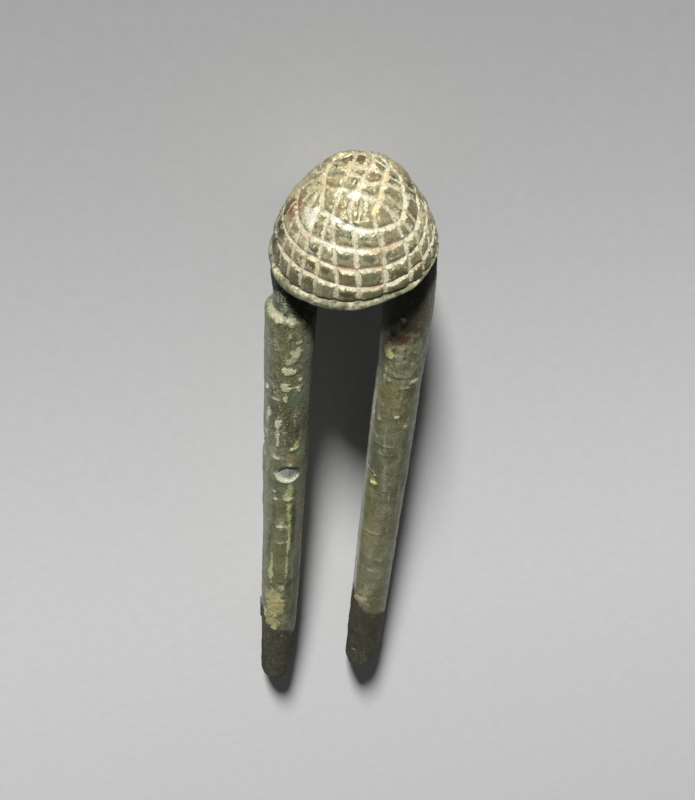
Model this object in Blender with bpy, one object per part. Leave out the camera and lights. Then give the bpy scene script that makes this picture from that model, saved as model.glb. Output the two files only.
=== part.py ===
"""Topknot pin, cast in one piece: a domed head with an incised lattice, a plain rim and two round legs.

Built with its long axis upright (head up, legs along X), then laid on its back, head toward +Y,
resting on three small flat spots: one on the rim and one near each leg tip.
"""
import math

import bpy
import bmesh
from mathutils import Matrix, Vector

MM = 0.001

# --- driving dimensions, millimetres and degrees ---
HEAD_R = 7.0            # radius of the head at the rim groove
DOME_H = 9.28           # height of the dome above the rim groove
DOME_POWER = 1.623      # 2 is an ellipse, less is more pointed
DOME_LEAN = 1.89        # the dome leans to its right
HEAD_TURN = -15.25      # the head's front is turned away from the plane of the legs
RIM_TILT = 8.14         # the rim climbs to the dome's right
RIM_PITCH = 2.3         # and a little to its back
RIM_RAISE = 0.35        # height of the rim groove's centre above the dome's base
RIM_R = 7.15
RIM_THICK = 0.80
RIM_ROUND = 0.22
RIM_GAP = 0.30          # width of the groove between dome and rim
NECK_R = 6.82           # radius at the bottom of that groove

GROOVE_HALF = 0.15      # half width of an incised line
GROOVE_DEPTH = 0.13
CELL_BULGE = 0.05       # the little cells between the lines stand proud
CELL_WIDTHS = (14, 13, 12, 12, 15.5, 14, 18.5, 22, 13.5, 15, 15.5, 16,
               15, 14, 16, 15, 16, 16, 15, 14, 15, 15, 14, 14)
FIRST_LINE = -77        # azimuth of the first upright line from the head's front
LINE_LEAN = 11          # the upright lines swing left by this much toward the crown
LEAN_START = 11.6       # from this distance from the apex upward
# three rings: distance from the apex over the dome, every 30 degrees from its left round by the front
RINGS = ((11.35, 11.2, 11.1, 11.0, 10.5, 9.9, 9.45, 9.5, 9.8, 10.2, 10.7, 11.1),
         (9.55, 9.5, 9.55, 9.38, 8.93, 8.3, 7.2, 7.1, 7.6, 8.2, 8.8, 9.3),
         (6.5, 7.3, 8.0, 7.75, 7.35, 6.9, 5.3, 5.2, 5.9, 6.4, 6.6, 6.5))
CROWN_LEFT = 3.15       # reach of the crown's edge line to each side of the apex
CROWN_RIGHT = 3.45
CROWN_FRONT = 4.62
CROWN_BACK = 1.90
CROWN_POWER = 3.0       # 2 is an ellipse, more is squarer
CROWN_X_LINES = (-1.75, -0.45, 1.40)
CROWN_Y_LINES = (-3.05, -2.0, -0.95, 0.2)

LEG_X = 5.495           # leg axis from the pin's axis at the rim
LEG_TIP_X = 5.02        # and at the tips
LEG_DRIFT = 0.39        # both tips sit this far to the right
LEG_LENGTH = 67.2
LEG_TOP_R = 2.23
LEFT_TIP_R = 1.75
RIGHT_TIP_R = 1.88
RIGHT_CUT = 3.6         # the right leg's outer side ends this much earlier
RIGHT_FORWARD = 0.13    # the thicker right tip is bent forward by this, so both tips reach the floor
# what is missing from each leg's outer side below the rim: (distance down the leg, how much)
LEFT_TRIM = ((0, 0.55), (3.0, 0.55), (4.8, 1.05), (6.3, 1.05), (6.9, 0.0))
RIGHT_TRIM = ((0, 0.60), (4.0, 0.15), (8.0, 0.0))
LEG_STEPS = 6
LEG_SIDES = 28

RIM_FLAT = 0.10         # how deep the resting spots are cut
TIP_FLAT = 0.08


def new_collection(name, hidden=False):
    collection = bpy.data.collections.new(name)
    bpy.context.scene.collection.children.link(collection)
    collection.hide_render = hidden
    return collection


def add_object(name, bm, collection):
    """Turns a bmesh, in millimetres, into an object in metres."""
    bmesh.ops.recalc_face_normals(bm, faces=bm.faces)
    bmesh.ops.scale(bm, vec=(MM, MM, MM), verts=bm.verts)
    mesh = bpy.data.meshes.new(name)
    bm.to_mesh(mesh)
    bm.free()
    obj = bpy.data.objects.new(name, mesh)
    collection.objects.link(obj)
    if collection.hide_render:
        obj.display_type = "WIRE"
        obj.hide_render = True
    return obj


def combine(obj, other, operation):
    """Joins or cuts with another object, and applies it at once."""
    modifier = obj.modifiers.new(operation.title(), "BOOLEAN")
    modifier.object = other
    modifier.operation = operation
    modifier.solver = "EXACT"
    depsgraph = bpy.context.evaluated_depsgraph_get()
    mesh = bpy.data.meshes.new_from_object(obj.evaluated_get(depsgraph))
    obj.modifiers.clear()
    obj.data = mesh


def dome_table(steps=2400):
    """Points down the dome's outline: (distance from the apex, radius, height)."""
    rows = [(0.0, 0.0, DOME_H)]
    for i in range(1, steps + 1):
        radius = HEAD_R * math.sin(math.pi / 2 * i / steps)
        left = max(0.0, 1 - (radius / HEAD_R) ** DOME_POWER)
        height = DOME_H * left ** (1 / DOME_POWER)
        last = rows[-1]
        step = math.hypot(radius - last[1], height - last[2])
        rows.append((last[0] + step, radius, height))
    return rows


TABLE = dome_table()
DOME_ARC = TABLE[-1][0]


def dome_at(arc):
    """Radius and height at a distance from the apex; past the base the wall runs straight down."""
    if arc >= DOME_ARC:
        return HEAD_R, DOME_ARC - arc
    low, high = 0, len(TABLE) - 1
    while high - low > 1:
        middle = (low + high) // 2
        if TABLE[middle][0] <= arc:
            low = middle
        else:
            high = middle
    share = (arc - TABLE[low][0]) / (TABLE[high][0] - TABLE[low][0])
    radius = TABLE[low][1] + share * (TABLE[high][1] - TABLE[low][1])
    height = TABLE[low][2] + share * (TABLE[high][2] - TABLE[low][2])
    return radius, height


def arc_at(radius):
    """Distance from the apex at which the dome has this radius."""
    for low, high in zip(TABLE, TABLE[1:]):
        if high[1] >= radius:
            share = (radius - low[1]) / (high[1] - low[1])
            return low[0] + share * (high[0] - low[0])
    return DOME_ARC


def on_dome(arc, azimuth, depth):
    """A point on the dome, sunk by depth along the surface normal. Azimuth 0 is the front, -Y."""
    radius, height = dome_at(arc)
    near_radius, near_height = dome_at(arc + 0.02)
    slope = Vector((near_radius - radius, near_height - height)).normalized()
    radius += depth * slope.y
    height -= depth * slope.x
    angle = math.radians(azimuth)
    return Vector((radius * math.sin(angle), -radius * math.cos(angle), height))


def rim_plane(x, y):
    """Height of the tilted rim groove above a place on the dome's base."""
    return RIM_RAISE + x * math.tan(math.radians(RIM_TILT)) + y * math.tan(math.radians(RIM_PITCH))


def rim_arc(azimuth):
    angle = math.radians(azimuth)
    return DOME_ARC - rim_plane(HEAD_R * math.sin(angle), -HEAD_R * math.cos(angle))


def ring_arc(number, azimuth):
    """A smooth closed curve through the ring's twelve distances."""
    ring = RINGS[number]
    place = (azimuth + 90) / 30
    start = math.floor(place)
    share = place - start
    before, near, far, after = [ring[(start + i) % 12] for i in (-1, 0, 1, 2)]
    bend = 2 * before - 5 * near + 4 * far - after + share * (3 * (near - far) + after - before)
    return near + 0.5 * share * (far - before + share * bend)


def crown_radius(azimuth):
    angle = math.radians(azimuth)
    across = math.sin(angle) / (CROWN_RIGHT if math.sin(angle) > 0 else CROWN_LEFT)
    along = math.cos(angle) / (CROWN_FRONT if math.cos(angle) > 0 else CROWN_BACK)
    return (abs(across) ** CROWN_POWER + abs(along) ** CROWN_POWER) ** (-1 / CROWN_POWER)


def crown_arc(azimuth):
    return arc_at(crown_radius(azimuth))


def line_azimuth(base, arc):
    """The upright lines swing to the left as they climb."""
    climb = max(0.0, LEAN_START - arc) / 5
    return base - LINE_LEAN * min(climb, 1.1) ** 1.4


def dome_columns():
    """The columns of the dome's grid: (base azimuth, groove side or None, base azimuth of the next line)."""
    columns = []
    base = FIRST_LINE
    for width in CELL_WIDTHS:
        columns += [(base, -1, 0), (base, 0, 0), (base, 1, 0), (base, None, width)]
        base += width
    return columns


def column_azimuth(column, arc):
    base, side, width = column
    if side is None:
        return line_azimuth(base + width / 2, arc)
    radius = max(dome_at(arc)[0], 1.0)
    return line_azimuth(base, arc) + side * math.degrees(GROOVE_HALF / radius)


def dome_rows():
    """The rows of the dome's grid from the rim up: (arc function, depth, is a cell's middle)."""
    rows = [(lambda az: rim_arc(az) - RIM_GAP / 2, 0.0, False)]
    rows.append((lambda az: (rim_arc(az) + ring_arc(0, az)) / 2, 0.0, True))
    for number in range(3):
        rows.append((lambda az, n=number: ring_arc(n, az) + GROOVE_HALF, 0.0, False))
        rows.append((lambda az, n=number: ring_arc(n, az), GROOVE_DEPTH, False))
        rows.append((lambda az, n=number: ring_arc(n, az) - GROOVE_HALF, 0.0, False))
        if number < 2:
            rows.append((lambda az, n=number: (ring_arc(n, az) + ring_arc(n + 1, az)) / 2, 0.0, True))
    rows.append((lambda az: (ring_arc(2, az) + crown_arc(az)) / 2, 0.0, True))
    rows.append((lambda az: crown_arc(az) + GROOVE_HALF, 0.0, False))
    for share, depth in ((1.0, GROOVE_DEPTH + 0.02), (0.6, 0.5), (0.25, 0.8)):
        rows.append((lambda az, s=share: s * crown_arc(az), depth, False))
    return rows


def skirt():
    """The dome below the crown, with rings and upright lines cut in; inside the crown it lies lower."""
    bm = bmesh.new()
    columns = dome_columns()
    loops = []
    for height in (-1.0, 0.0):
        loop = []
        for column in columns:
            azimuth = math.radians(column_azimuth(column, DOME_ARC))
            x = NECK_R * math.sin(azimuth)
            y = -NECK_R * math.cos(azimuth)
            loop.append(bm.verts.new((x, y, height + rim_plane(x, y))))
        loops.append(loop)
    for arc_of, depth, middle in dome_rows():
        loop = []
        for column in columns:
            arc = arc_of(column_azimuth(column, DOME_ARC))
            azimuth = column_azimuth(column, arc)
            arc = arc_of(azimuth)
            sunk = depth
            if column[1] == 0:
                sunk = max(depth, GROOVE_DEPTH)
            if column[1] is None and middle:
                sunk = -CELL_BULGE
            loop.append(bm.verts.new(on_dome(arc, azimuth, sunk)))
        loops.append(loop)
    for low, high in zip(loops, loops[1:]):
        for i in range(len(low)):
            j = (i + 1) % len(low)
            bm.faces.new((low[i], low[j], high[j], high[i]))
    bm.faces.new(loops[0])
    bm.faces.new(loops[-1])
    return bm


def lattice_stops(lines, low, high):
    """Grid positions across the crown: both lips and the bottom of every line, and the cells' middles."""
    stops = [(low, False)]
    last = low
    for line in lines:
        stops.append(((last + line) / 2, False))
        stops += [(line - GROOVE_HALF, False), (line, True), (line + GROOVE_HALF, False)]
        last = line
    stops += [((last + high) / 2, False), (high, False)]
    return stops


def crown():
    """The crown with its square lattice, cut to the line that bounds it."""
    across = lattice_stops(CROWN_X_LINES, -CROWN_LEFT - 0.6, CROWN_RIGHT + 0.6)
    along = lattice_stops(CROWN_Y_LINES, -CROWN_FRONT - 0.6, CROWN_BACK + 0.6)
    bm = bmesh.new()
    bmesh.ops.create_grid(bm, x_segments=len(across) - 1, y_segments=len(along) - 1, size=1.0)
    base = DOME_H * 0.35
    for vert in bm.verts:
        column = round((vert.co.x + 1) / 2 * (len(across) - 1))
        row = round((vert.co.y + 1) / 2 * (len(along) - 1))
        x, in_x = across[column]
        y, in_y = along[row]
        height = dome_at(arc_at(min(math.hypot(x, y), HEAD_R)))[1]
        height -= GROOVE_DEPTH * 1.2 if in_x or in_y else 0.0
        vert.co = (x, y, max(height, base + 0.2))
    top = list(bm.faces)
    grown = bmesh.ops.extrude_face_region(bm, geom=top)
    for item in grown["geom"]:
        if isinstance(item, bmesh.types.BMVert):
            item.co.z = base
    return bm


def crown_prism():
    """An upright prism with the outline of the crown."""
    bm = bmesh.new()
    bmesh.ops.create_cone(bm, cap_ends=True, segments=72, radius1=1, radius2=1, depth=20)
    for vert in bm.verts:
        azimuth = math.degrees(math.atan2(vert.co.x, -vert.co.y))
        radius = crown_radius(azimuth) - GROOVE_HALF
        vert.co.x *= radius
        vert.co.y *= radius
    bmesh.ops.translate(bm, vec=(0, 0, DOME_H), verts=bm.verts)
    return bm


def rim():
    """The plain rim: a flat disc with rounded edges, tilted."""
    bm = bmesh.new()
    bmesh.ops.create_cone(bm, cap_ends=True, segments=72, radius1=RIM_R, radius2=RIM_R, depth=RIM_THICK)
    edges = [e for e in bm.edges if abs(e.verts[0].co.z - e.verts[1].co.z) < 1e-6]
    bmesh.ops.bevel(bm, geom=edges, offset=RIM_ROUND, segments=2, affect="EDGES", profile=0.5)
    bmesh.ops.translate(bm, vec=(0, 0, -(RIM_GAP + RIM_THICK) / 2), verts=bm.verts)
    tilt = Matrix.Rotation(-math.radians(RIM_TILT), 3, "Y") @ Matrix.Rotation(math.radians(RIM_PITCH), 3, "X")
    bmesh.ops.rotate(bm, cent=(0, 0, 0), matrix=tilt, verts=bm.verts)
    bmesh.ops.translate(bm, vec=(0, 0, RIM_RAISE), verts=bm.verts)
    return bm


def leg(side, tip_radius, trims):
    """A round, tapering leg, side -1 left and 1 right. Its root is buried in the head."""
    bm = bmesh.new()
    root = Vector((side * LEG_X, 0, 0))
    forward = RIGHT_FORWARD if side > 0 else 0.0
    tip = Vector((side * LEG_TIP_X + LEG_DRIFT, -forward, -LEG_LENGTH))
    straight = LEG_LENGTH - tip_radius if side < 0 else LEG_LENGTH
    stations = [(down, missing, 1.0) for down, missing in trims]
    start = trims[-1][0]
    for i in range(1, LEG_STEPS + 1):
        stations.append((start + i / LEG_STEPS * (straight - start), 0.0, 1.0))
    if side < 0:
        for angle in (30, 55, 75):
            turn = math.radians(angle)
            stations.append((straight + tip_radius * math.sin(turn), 0.0, math.cos(turn)))
    loops = []
    for down, missing, share in stations:
        along = down / LEG_LENGTH
        centre = root.lerp(tip, along) - Vector((side * missing / 2, 0, 0))
        radius = share * (LEG_TOP_R + (tip_radius - LEG_TOP_R) * along) - missing / 2
        loop = []
        for i in range(LEG_SIDES):
            angle = 2 * math.pi * i / LEG_SIDES
            offset = Vector((math.cos(angle), math.sin(angle), 0)) * radius
            loop.append(bm.verts.new(centre + offset))
        loops.append(loop)
    for low, high in zip(loops, loops[1:]):
        for i in range(LEG_SIDES):
            j = (i + 1) % LEG_SIDES
            bm.faces.new((low[i], low[j], high[j], high[i]))
    bm.faces.new(loops[0])
    bm.faces.new(loops[-1])
    if side > 0:
        slope = Vector((RIGHT_CUT, 0, -2 * tip_radius)).normalized()
        corner = tip + Vector((-tip_radius, 0, 0))
        everything = bm.verts[:] + bm.edges[:] + bm.faces[:]
        cut = bmesh.ops.bisect_plane(bm, geom=everything, plane_co=corner, plane_no=slope, clear_outer=True)
        edges = [g for g in cut["geom_cut"] if isinstance(g, bmesh.types.BMEdge)]
        bmesh.ops.contextual_create(bm, geom=edges)
    return bm


def floor_block():
    """The space below the floor, for cutting the resting spots."""
    bm = bmesh.new()
    bmesh.ops.create_cube(bm, size=1.0)
    bmesh.ops.scale(bm, vec=(60, 260, 20), verts=bm.verts)
    bmesh.ops.translate(bm, vec=(0, 0, -10), verts=bm.verts)
    return bm


def drop_slivers(obj):
    """Merges points closer than a tenth of a micrometre, which the cuts can leave behind."""
    bm = bmesh.new()
    bm.from_mesh(obj.data)
    bmesh.ops.remove_doubles(bm, verts=bm.verts, dist=1e-7)
    bmesh.ops.dissolve_degenerate(bm, edges=bm.edges, dist=1e-7)
    bm.to_mesh(obj.data)
    bm.free()


def lying_matrix():
    """Lays the upright pin on its back, head toward +Y, its legs sloping down to their tips."""
    turn = math.radians(-HEAD_TURN)
    rim_back = rim_plane(-RIM_R * math.sin(turn), RIM_R * math.cos(turn)) - (RIM_GAP + RIM_THICK) / 2
    run = LEG_LENGTH - LEFT_TIP_R + rim_back
    fall = (RIM_R - RIM_FLAT) - (LEFT_TIP_R - TIP_FLAT)
    slope = math.atan2(fall, run)
    lay = Matrix(((1, 0, 0, 0), (0, 0, 1, 0), (0, -1, 0, 0), (0, 0, 0, 1)))
    return Matrix.Rotation(slope, 4, "X") @ lay


def aged_bronze():
    material = bpy.data.materials.new("aged_bronze")
    material.use_nodes = True
    shader = material.node_tree.nodes["Principled BSDF"]
    shader.inputs["Base Color"].default_value = (0.19, 0.17, 0.12, 1)
    shader.inputs["Metallic"].default_value = 0.6
    shader.inputs["Roughness"].default_value = 0.5
    return material


def main():
    for obj in list(bpy.data.objects):
        bpy.data.objects.remove(obj)
    parts = new_collection("topknot_pin_parts")
    cutters = new_collection("topknot_pin_cutters", hidden=True)

    pin = add_object("topknot_pin", skirt(), parts)
    crown_top = add_object("crown_top", crown(), cutters)
    combine(crown_top, add_object("crown_prism", crown_prism(), cutters), "INTERSECT")
    combine(pin, crown_top, "UNION")
    combine(pin, add_object("rim_disc", rim(), cutters), "UNION")
    lean = Matrix.Rotation(math.radians(DOME_LEAN), 4, "Y")
    turn = Matrix.Rotation(math.radians(HEAD_TURN), 4, "Z")
    pin.data.transform(turn @ lean)
    combine(pin, add_object("left_leg", leg(-1, LEFT_TIP_R, LEFT_TRIM), cutters), "UNION")
    combine(pin, add_object("right_leg", leg(1, RIGHT_TIP_R, RIGHT_TRIM), cutters), "UNION")

    pin.data.transform(lying_matrix())
    lowest = min(vert.co.z for vert in pin.data.vertices if vert.co.y > -10 * MM)
    pin.data.transform(Matrix.Translation((0, 0, -lowest - RIM_FLAT * MM)))
    combine(pin, add_object("floor_block", floor_block(), cutters), "DIFFERENCE")
    drop_slivers(pin)
    for axis in (0, 1):
        ends = [vert.co[axis] for vert in pin.data.vertices]
        shift = Vector((0, 0, 0))
        shift[axis] = -(min(ends) + max(ends)) / 2
        pin.data.transform(Matrix.Translation(shift))
    pin.data.materials.clear()
    pin.data.materials.append(aged_bronze())
    for polygon in pin.data.polygons:
        polygon.use_smooth = False
    print("triangles", sum(len(p.vertices) - 2 for p in pin.data.polygons))
    print("size mm", [round(1000 * d, 3) for d in pin.dimensions])


main()
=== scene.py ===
# %% [markdown]
# # A bronze topknot pin
#
# The object is a small hairpin of cast bronze, about 76 mm long: a domed head with a lattice cut into it, a
# plain rim, and two round legs. It was buried for a long time, so the metal is covered in patina and crust.
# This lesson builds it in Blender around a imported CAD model, which is loaded first and never changed.

# %% Load the frame
import math

import bpy
import numpy as np
from mathutils import Matrix, Vector


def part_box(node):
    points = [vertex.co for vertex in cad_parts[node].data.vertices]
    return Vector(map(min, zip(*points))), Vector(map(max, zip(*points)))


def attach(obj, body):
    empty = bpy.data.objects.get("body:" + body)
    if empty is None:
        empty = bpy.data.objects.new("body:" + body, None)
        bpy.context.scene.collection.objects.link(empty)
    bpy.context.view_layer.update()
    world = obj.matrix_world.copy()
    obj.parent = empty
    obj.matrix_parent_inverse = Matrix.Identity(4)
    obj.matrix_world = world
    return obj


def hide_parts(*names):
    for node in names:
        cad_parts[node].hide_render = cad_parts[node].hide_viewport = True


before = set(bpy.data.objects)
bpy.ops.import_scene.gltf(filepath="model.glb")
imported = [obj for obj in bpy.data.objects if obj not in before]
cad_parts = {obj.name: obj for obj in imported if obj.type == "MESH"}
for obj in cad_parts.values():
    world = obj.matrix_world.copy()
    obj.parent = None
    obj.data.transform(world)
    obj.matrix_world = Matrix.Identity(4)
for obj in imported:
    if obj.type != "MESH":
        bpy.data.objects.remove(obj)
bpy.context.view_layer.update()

MM = 0.001
box_low, box_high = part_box("topknot_pin")
print("CAD box, mm:", [round(side / MM, 2) for side in box_high - box_low])

# %% [markdown]
# ## Where the pin lies
#
# A pin is easiest to think of upright: the head on top, the legs straight below it, its front toward us. So
# everything is modelled upright and in millimetres, with the middle of the dome's base as the origin and
# the front toward -Y. One matrix then lays it on its back and turns millimetres into metres. It rests on
# the rim's edge and on both leg tips, so it slopes a little.

# %% The matrix from the upright pin to the lying one
SLOPE = math.radians(4.715)
HEAD_BELOW_TOP = 9.222          # from the head's end of the CAD box to the middle of the dome's base
HEAD_ABOVE_FLOOR = 7.0545       # the same middle above the floor
HEAD_ASIDE = -0.043             # and from the middle of the box
head_centre = Vector(((box_low.x + box_high.x) / 2 + HEAD_ASIDE * MM,
                      box_high.y - HEAD_BELOW_TOP * MM,
                      box_low.z + HEAD_ABOVE_FLOOR * MM))
lay_down = Matrix(((1, 0, 0, 0), (0, 0, 1, 0), (0, -1, 0, 0), (0, 0, 0, 1)))
to_row = Matrix.Translation(head_centre) @ Matrix.Rotation(SLOPE, 4, "X") @ lay_down @ Matrix.Scale(MM, 4)
print("the dome's base is centred at, mm:", [round(c / MM, 2) for c in to_row.translation])

# %% [markdown]
# ## Floor, light and camera
#
# Small metal finds are shown on plain pale paper with one small lamp, which stands beyond the head and a
# little to the left. The dome then throws a crisp shadow on the upper legs, and a faint sky fills the rest.
# Two lamps share this work: light linking lets one shine on the pin only and a lower one on the paper only,
# so the shadow on the paper has a good length while the dome stays well lit. The paper is painted a little
# darker away from the viewer, as painted falloff of the light, and has a fine grain. The camera looks down
# over the head along the legs.

# %% Small helpers for colour and nodes
def linear(hex_colour):
    """An sRGB hex colour as the linear RGBA that nodes take."""
    channels = [int(hex_colour[i:i + 2], 16) / 255 for i in (1, 3, 5)]
    return [c / 12.92 if c <= 0.04045 else ((c + 0.055) / 1.055) ** 2.4 for c in channels] + [1.0]


def add_node(tree, kind, inputs=(), **settings):
    """Adds a node with its settings. Inputs are plain values, or outputs of other nodes to link."""
    made = tree.nodes.new("ShaderNode" + kind)
    for name, value in settings.items():
        setattr(made, name, value)
    for socket, value in dict(inputs).items():
        if isinstance(value, bpy.types.NodeSocket):
            tree.links.new(value, made.inputs[socket])
        else:
            made.inputs[socket].default_value = value
    return made


def start_fresh():
    """Leaves edit mode and selects nothing, so the next operator touches only what it should."""
    if bpy.context.object and bpy.context.object.mode != "OBJECT":
        bpy.ops.object.mode_set(mode="OBJECT")
    bpy.ops.object.select_all(action="DESELECT")


print("the grey #808080 in linear light:", round(linear("#808080")[0], 3))

# %% The floor
start_fresh()
bpy.ops.mesh.primitive_plane_add(size=1.6, location=(0, 0, box_low.z))
floor = bpy.context.object
floor.name = "floor"
paper = bpy.data.materials.new("matt_paper")
paper.use_nodes = True
paper_tree = paper.node_tree
place = add_node(paper_tree, "TexCoord").outputs["Object"]
along = add_node(paper_tree, "SeparateXYZ", {0: place}).outputs["Y"]
# painted falloff of the light: the paper's colour is darker away from the viewer
painted_falloff = add_node(paper_tree, "MapRange", {"Value": along, "From Min": -0.035, "From Max": 0.080},
                  interpolation_type="SMOOTHSTEP").outputs["Result"]
tone = add_node(paper_tree, "MixRGB", {"Fac": painted_falloff, "Color1": linear("#dbdbda"),
                                       "Color2": linear("#999999")}).outputs["Color"]
fibres = add_node(paper_tree, "TexNoise", {"Vector": place, "Scale": 900.0, "Detail": 3.0}).outputs["Fac"]
shade = add_node(paper_tree, "MapRange", {"Value": fibres, "To Min": 0.95, "To Max": 1.05}).outputs["Result"]
grainy = add_node(paper_tree, "MixRGB", {"Fac": 1.0, "Color1": tone, "Color2": shade},
                  blend_type="MULTIPLY").outputs["Color"]
paper_shader = paper_tree.nodes["Principled BSDF"]
paper_tree.links.new(grainy, paper_shader.inputs["Base Color"])
paper_shader.inputs["Roughness"].default_value = 0.9
floor.data.materials.append(paper)
print("floor at", floor.location.z)

# %% The lamp and the sky
LAMP_FROM = (-24, 64)           # degrees: round from the pin's front, and up toward the head
LOW_LAMP_FROM = (-36, 72.5)
LAMP_AWAY = 1.5                 # metres


def pin_direction(around, up):
    """A direction in the row frame, from angles about the upright pin."""
    around, up = math.radians(around), math.radians(up)
    flat = math.cos(up)
    direction = Vector((math.sin(around) * flat, -math.cos(around) * flat, math.sin(up)))
    return (to_row.to_3x3() @ direction).normalized()


def add_lamp(name, around, up, away, size, energy, aim):
    """A round lamp that shines at a point of the upright pin from these angles."""
    data = bpy.data.lights.new(name, "AREA")
    data.shape = "DISK"
    data.size = size
    data.energy = energy
    made = bpy.data.objects.new(name, data)
    target = to_row @ Vector(aim)
    made.location = target + away * pin_direction(around, up)
    made.rotation_euler = (target - made.location).to_track_quat("-Z", "Y").to_euler()
    bpy.context.scene.collection.objects.link(made)
    return made


lamp = add_lamp("key_lamp", *LAMP_FROM, LAMP_AWAY, size=0.17, energy=31, aim=(0, 0, -10))
low_lamp = add_lamp("low_lamp", *LOW_LAMP_FROM, LAMP_AWAY, size=0.25, energy=57, aim=(0, 0, -20))
for source, receives in ((lamp, "pin_side"), (low_lamp, "floor_side")):
    source.light_linking.receiver_collection = bpy.data.collections.new(receives)
low_lamp.light_linking.receiver_collection.objects.link(floor)

sky = bpy.data.worlds.new("studio")
bpy.context.scene.world = sky
sky.use_nodes = True
sky.node_tree.nodes["Background"].inputs["Color"].default_value = linear("#f2f4f7")
sky.node_tree.nodes["Background"].inputs["Strength"].default_value = 0.065
bpy.context.scene.view_settings.view_transform = "Standard"
for source in (lamp, low_lamp):
    print(source.name, "at, mm:", [round(c / MM) for c in source.location])

# %% The camera
CAMERA_FROM = Vector((-25.17, -92.34, 85.60))   # in the upright pin's millimetres
CAMERA_AT = Vector((0.69, 0.0, -20.18))
CAMERA_ROLL = 5.685                             # degrees
FOCAL = 67.5                                    # for a picture 36 mm high

camera_data = bpy.data.cameras.new("camera")
camera_data.sensor_fit = "VERTICAL"
camera_data.sensor_height = 36
camera_data.lens = FOCAL
camera_data.clip_start = 0.01
camera = bpy.data.objects.new("camera", camera_data)
forward = (CAMERA_AT - CAMERA_FROM).normalized()
aside = forward.cross(Vector((0, 0, 1))).normalized()
upward = aside.cross(forward)
roll = Matrix.Rotation(math.radians(-CAMERA_ROLL), 3, forward)
aside, upward = roll @ aside, roll @ upward
turn = Matrix((aside, upward, -forward)).transposed()
place = to_row @ CAMERA_FROM
camera.matrix_world = Matrix.Translation(place) @ (to_row.to_3x3().normalized() @ turn).to_4x4()
bpy.context.scene.collection.objects.link(camera)
bpy.context.scene.camera = camera
print("camera at, mm:", [round(c / MM) for c in camera.location])

# %% [markdown]
# ## The dome's outline
#
# A dome like this is turned or carved in wax and then cast, so its outline is one smooth curve from the
# apex to the rim: a little more pointed than an ellipse. A short table of the curve gives us two handy
# numbers for any place on the dome: its distance from the apex along the surface, and its angle round the
# axis.

# %% The outline as a table
HEAD_R = 7.0
DOME_H = 9.28
DOME_POWER = 1.623              # 2 would be an ellipse, 1 a cone
turns = np.linspace(0, math.pi / 2, 3001)
outline_r = HEAD_R * np.sin(turns)
outline_z = DOME_H * np.clip(1 - (outline_r / HEAD_R) ** DOME_POWER, 0, 1) ** (1 / DOME_POWER)
steps = np.hypot(np.diff(outline_r), np.diff(outline_z))
outline_arc = np.concatenate([[0], np.cumsum(steps)])
DOME_ARC = outline_arc[-1]


def radius_at(arc):
    return np.interp(arc, outline_arc, outline_r)


def height_at(arc):
    return np.where(arc > DOME_ARC, DOME_ARC - arc, np.interp(arc, outline_arc, outline_z))


def arc_at(radius):
    return np.interp(radius, outline_r, outline_arc)


print("from apex to base over the dome, mm:", round(DOME_ARC, 2))

# %% [markdown]
# ## The plain body
#
# The body is made as by hand, from simple solids. The dome starts as a disc that is extruded up in many
# small steps and scaled to the outline at each one. The rim is a flat cylinder with bevelled edges. It is
# tilted, thicker at the left than at the right, and bent up a little in one place, as hand work is. Each
# leg is a disc extruded down and shaped at each stop: where metal has flaked off below the rim the leg is
# thinner on its outer side, and the left tip is worn on its inner side.

# %% Sizes of the head
DOME_LEAN = 1.89                # degrees, to its right
HEAD_TURN = -15.25              # the head's front is turned from the plane of the legs
RIM_TILT = 8.2
RIM_PITCH = 2.86
RIM_RAISE = -0.01
RIM_SHIFT = (-0.12, -0.05)      # the rim sits a little off the dome's middle
RIM_R = 7.14
RIM_THICK = 0.78                # at the front; the left is thicker, the right thinner
RIM_WEDGE = 0.6
RIM_GAP = 0.30
RIM_INSIDE = 0.3                # the dome reaches this far into the rim
RIM_STRETCH = 1.028             # the rim stands out more at the left
RIM_EDGE = 0.26                 # how much its edges are rounded
ROUND_POINTS = 160
DOME_STEPS = 60
APEX_STOP = 0.12                # the last step is this far from the apex


def rim_hump(x, y):
    """The rim bends up a little at its front right and down at its left."""
    around = np.degrees(np.arctan2(x, -y))
    return 0.2 * np.exp(-((around - 27) / 16) ** 2) - 0.18 * np.exp(-((around + 80) / 25) ** 2)


def rim_bottom(x, y):
    """The rim's lower face in the rim's own frame."""
    return -RIM_GAP / 2 - RIM_THICK * (1 - RIM_WEDGE * x / np.maximum(np.hypot(x, y), 1e-6))


def extrude_to(shift, scale, centre):
    """Extrudes the selected face, moves it, and scales it about a point."""
    bpy.ops.mesh.extrude_region_move(TRANSFORM_OT_translate={"value": shift})
    bpy.ops.transform.resize(value=(scale, scale, 1), center_override=centre)


print("the rim is this thick at its left, front and right, mm:",
      [round(float(-rim_bottom(x, y) - RIM_GAP / 2), 2) for x, y in ((-1, 0), (0, -1), (1, 0))])

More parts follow.
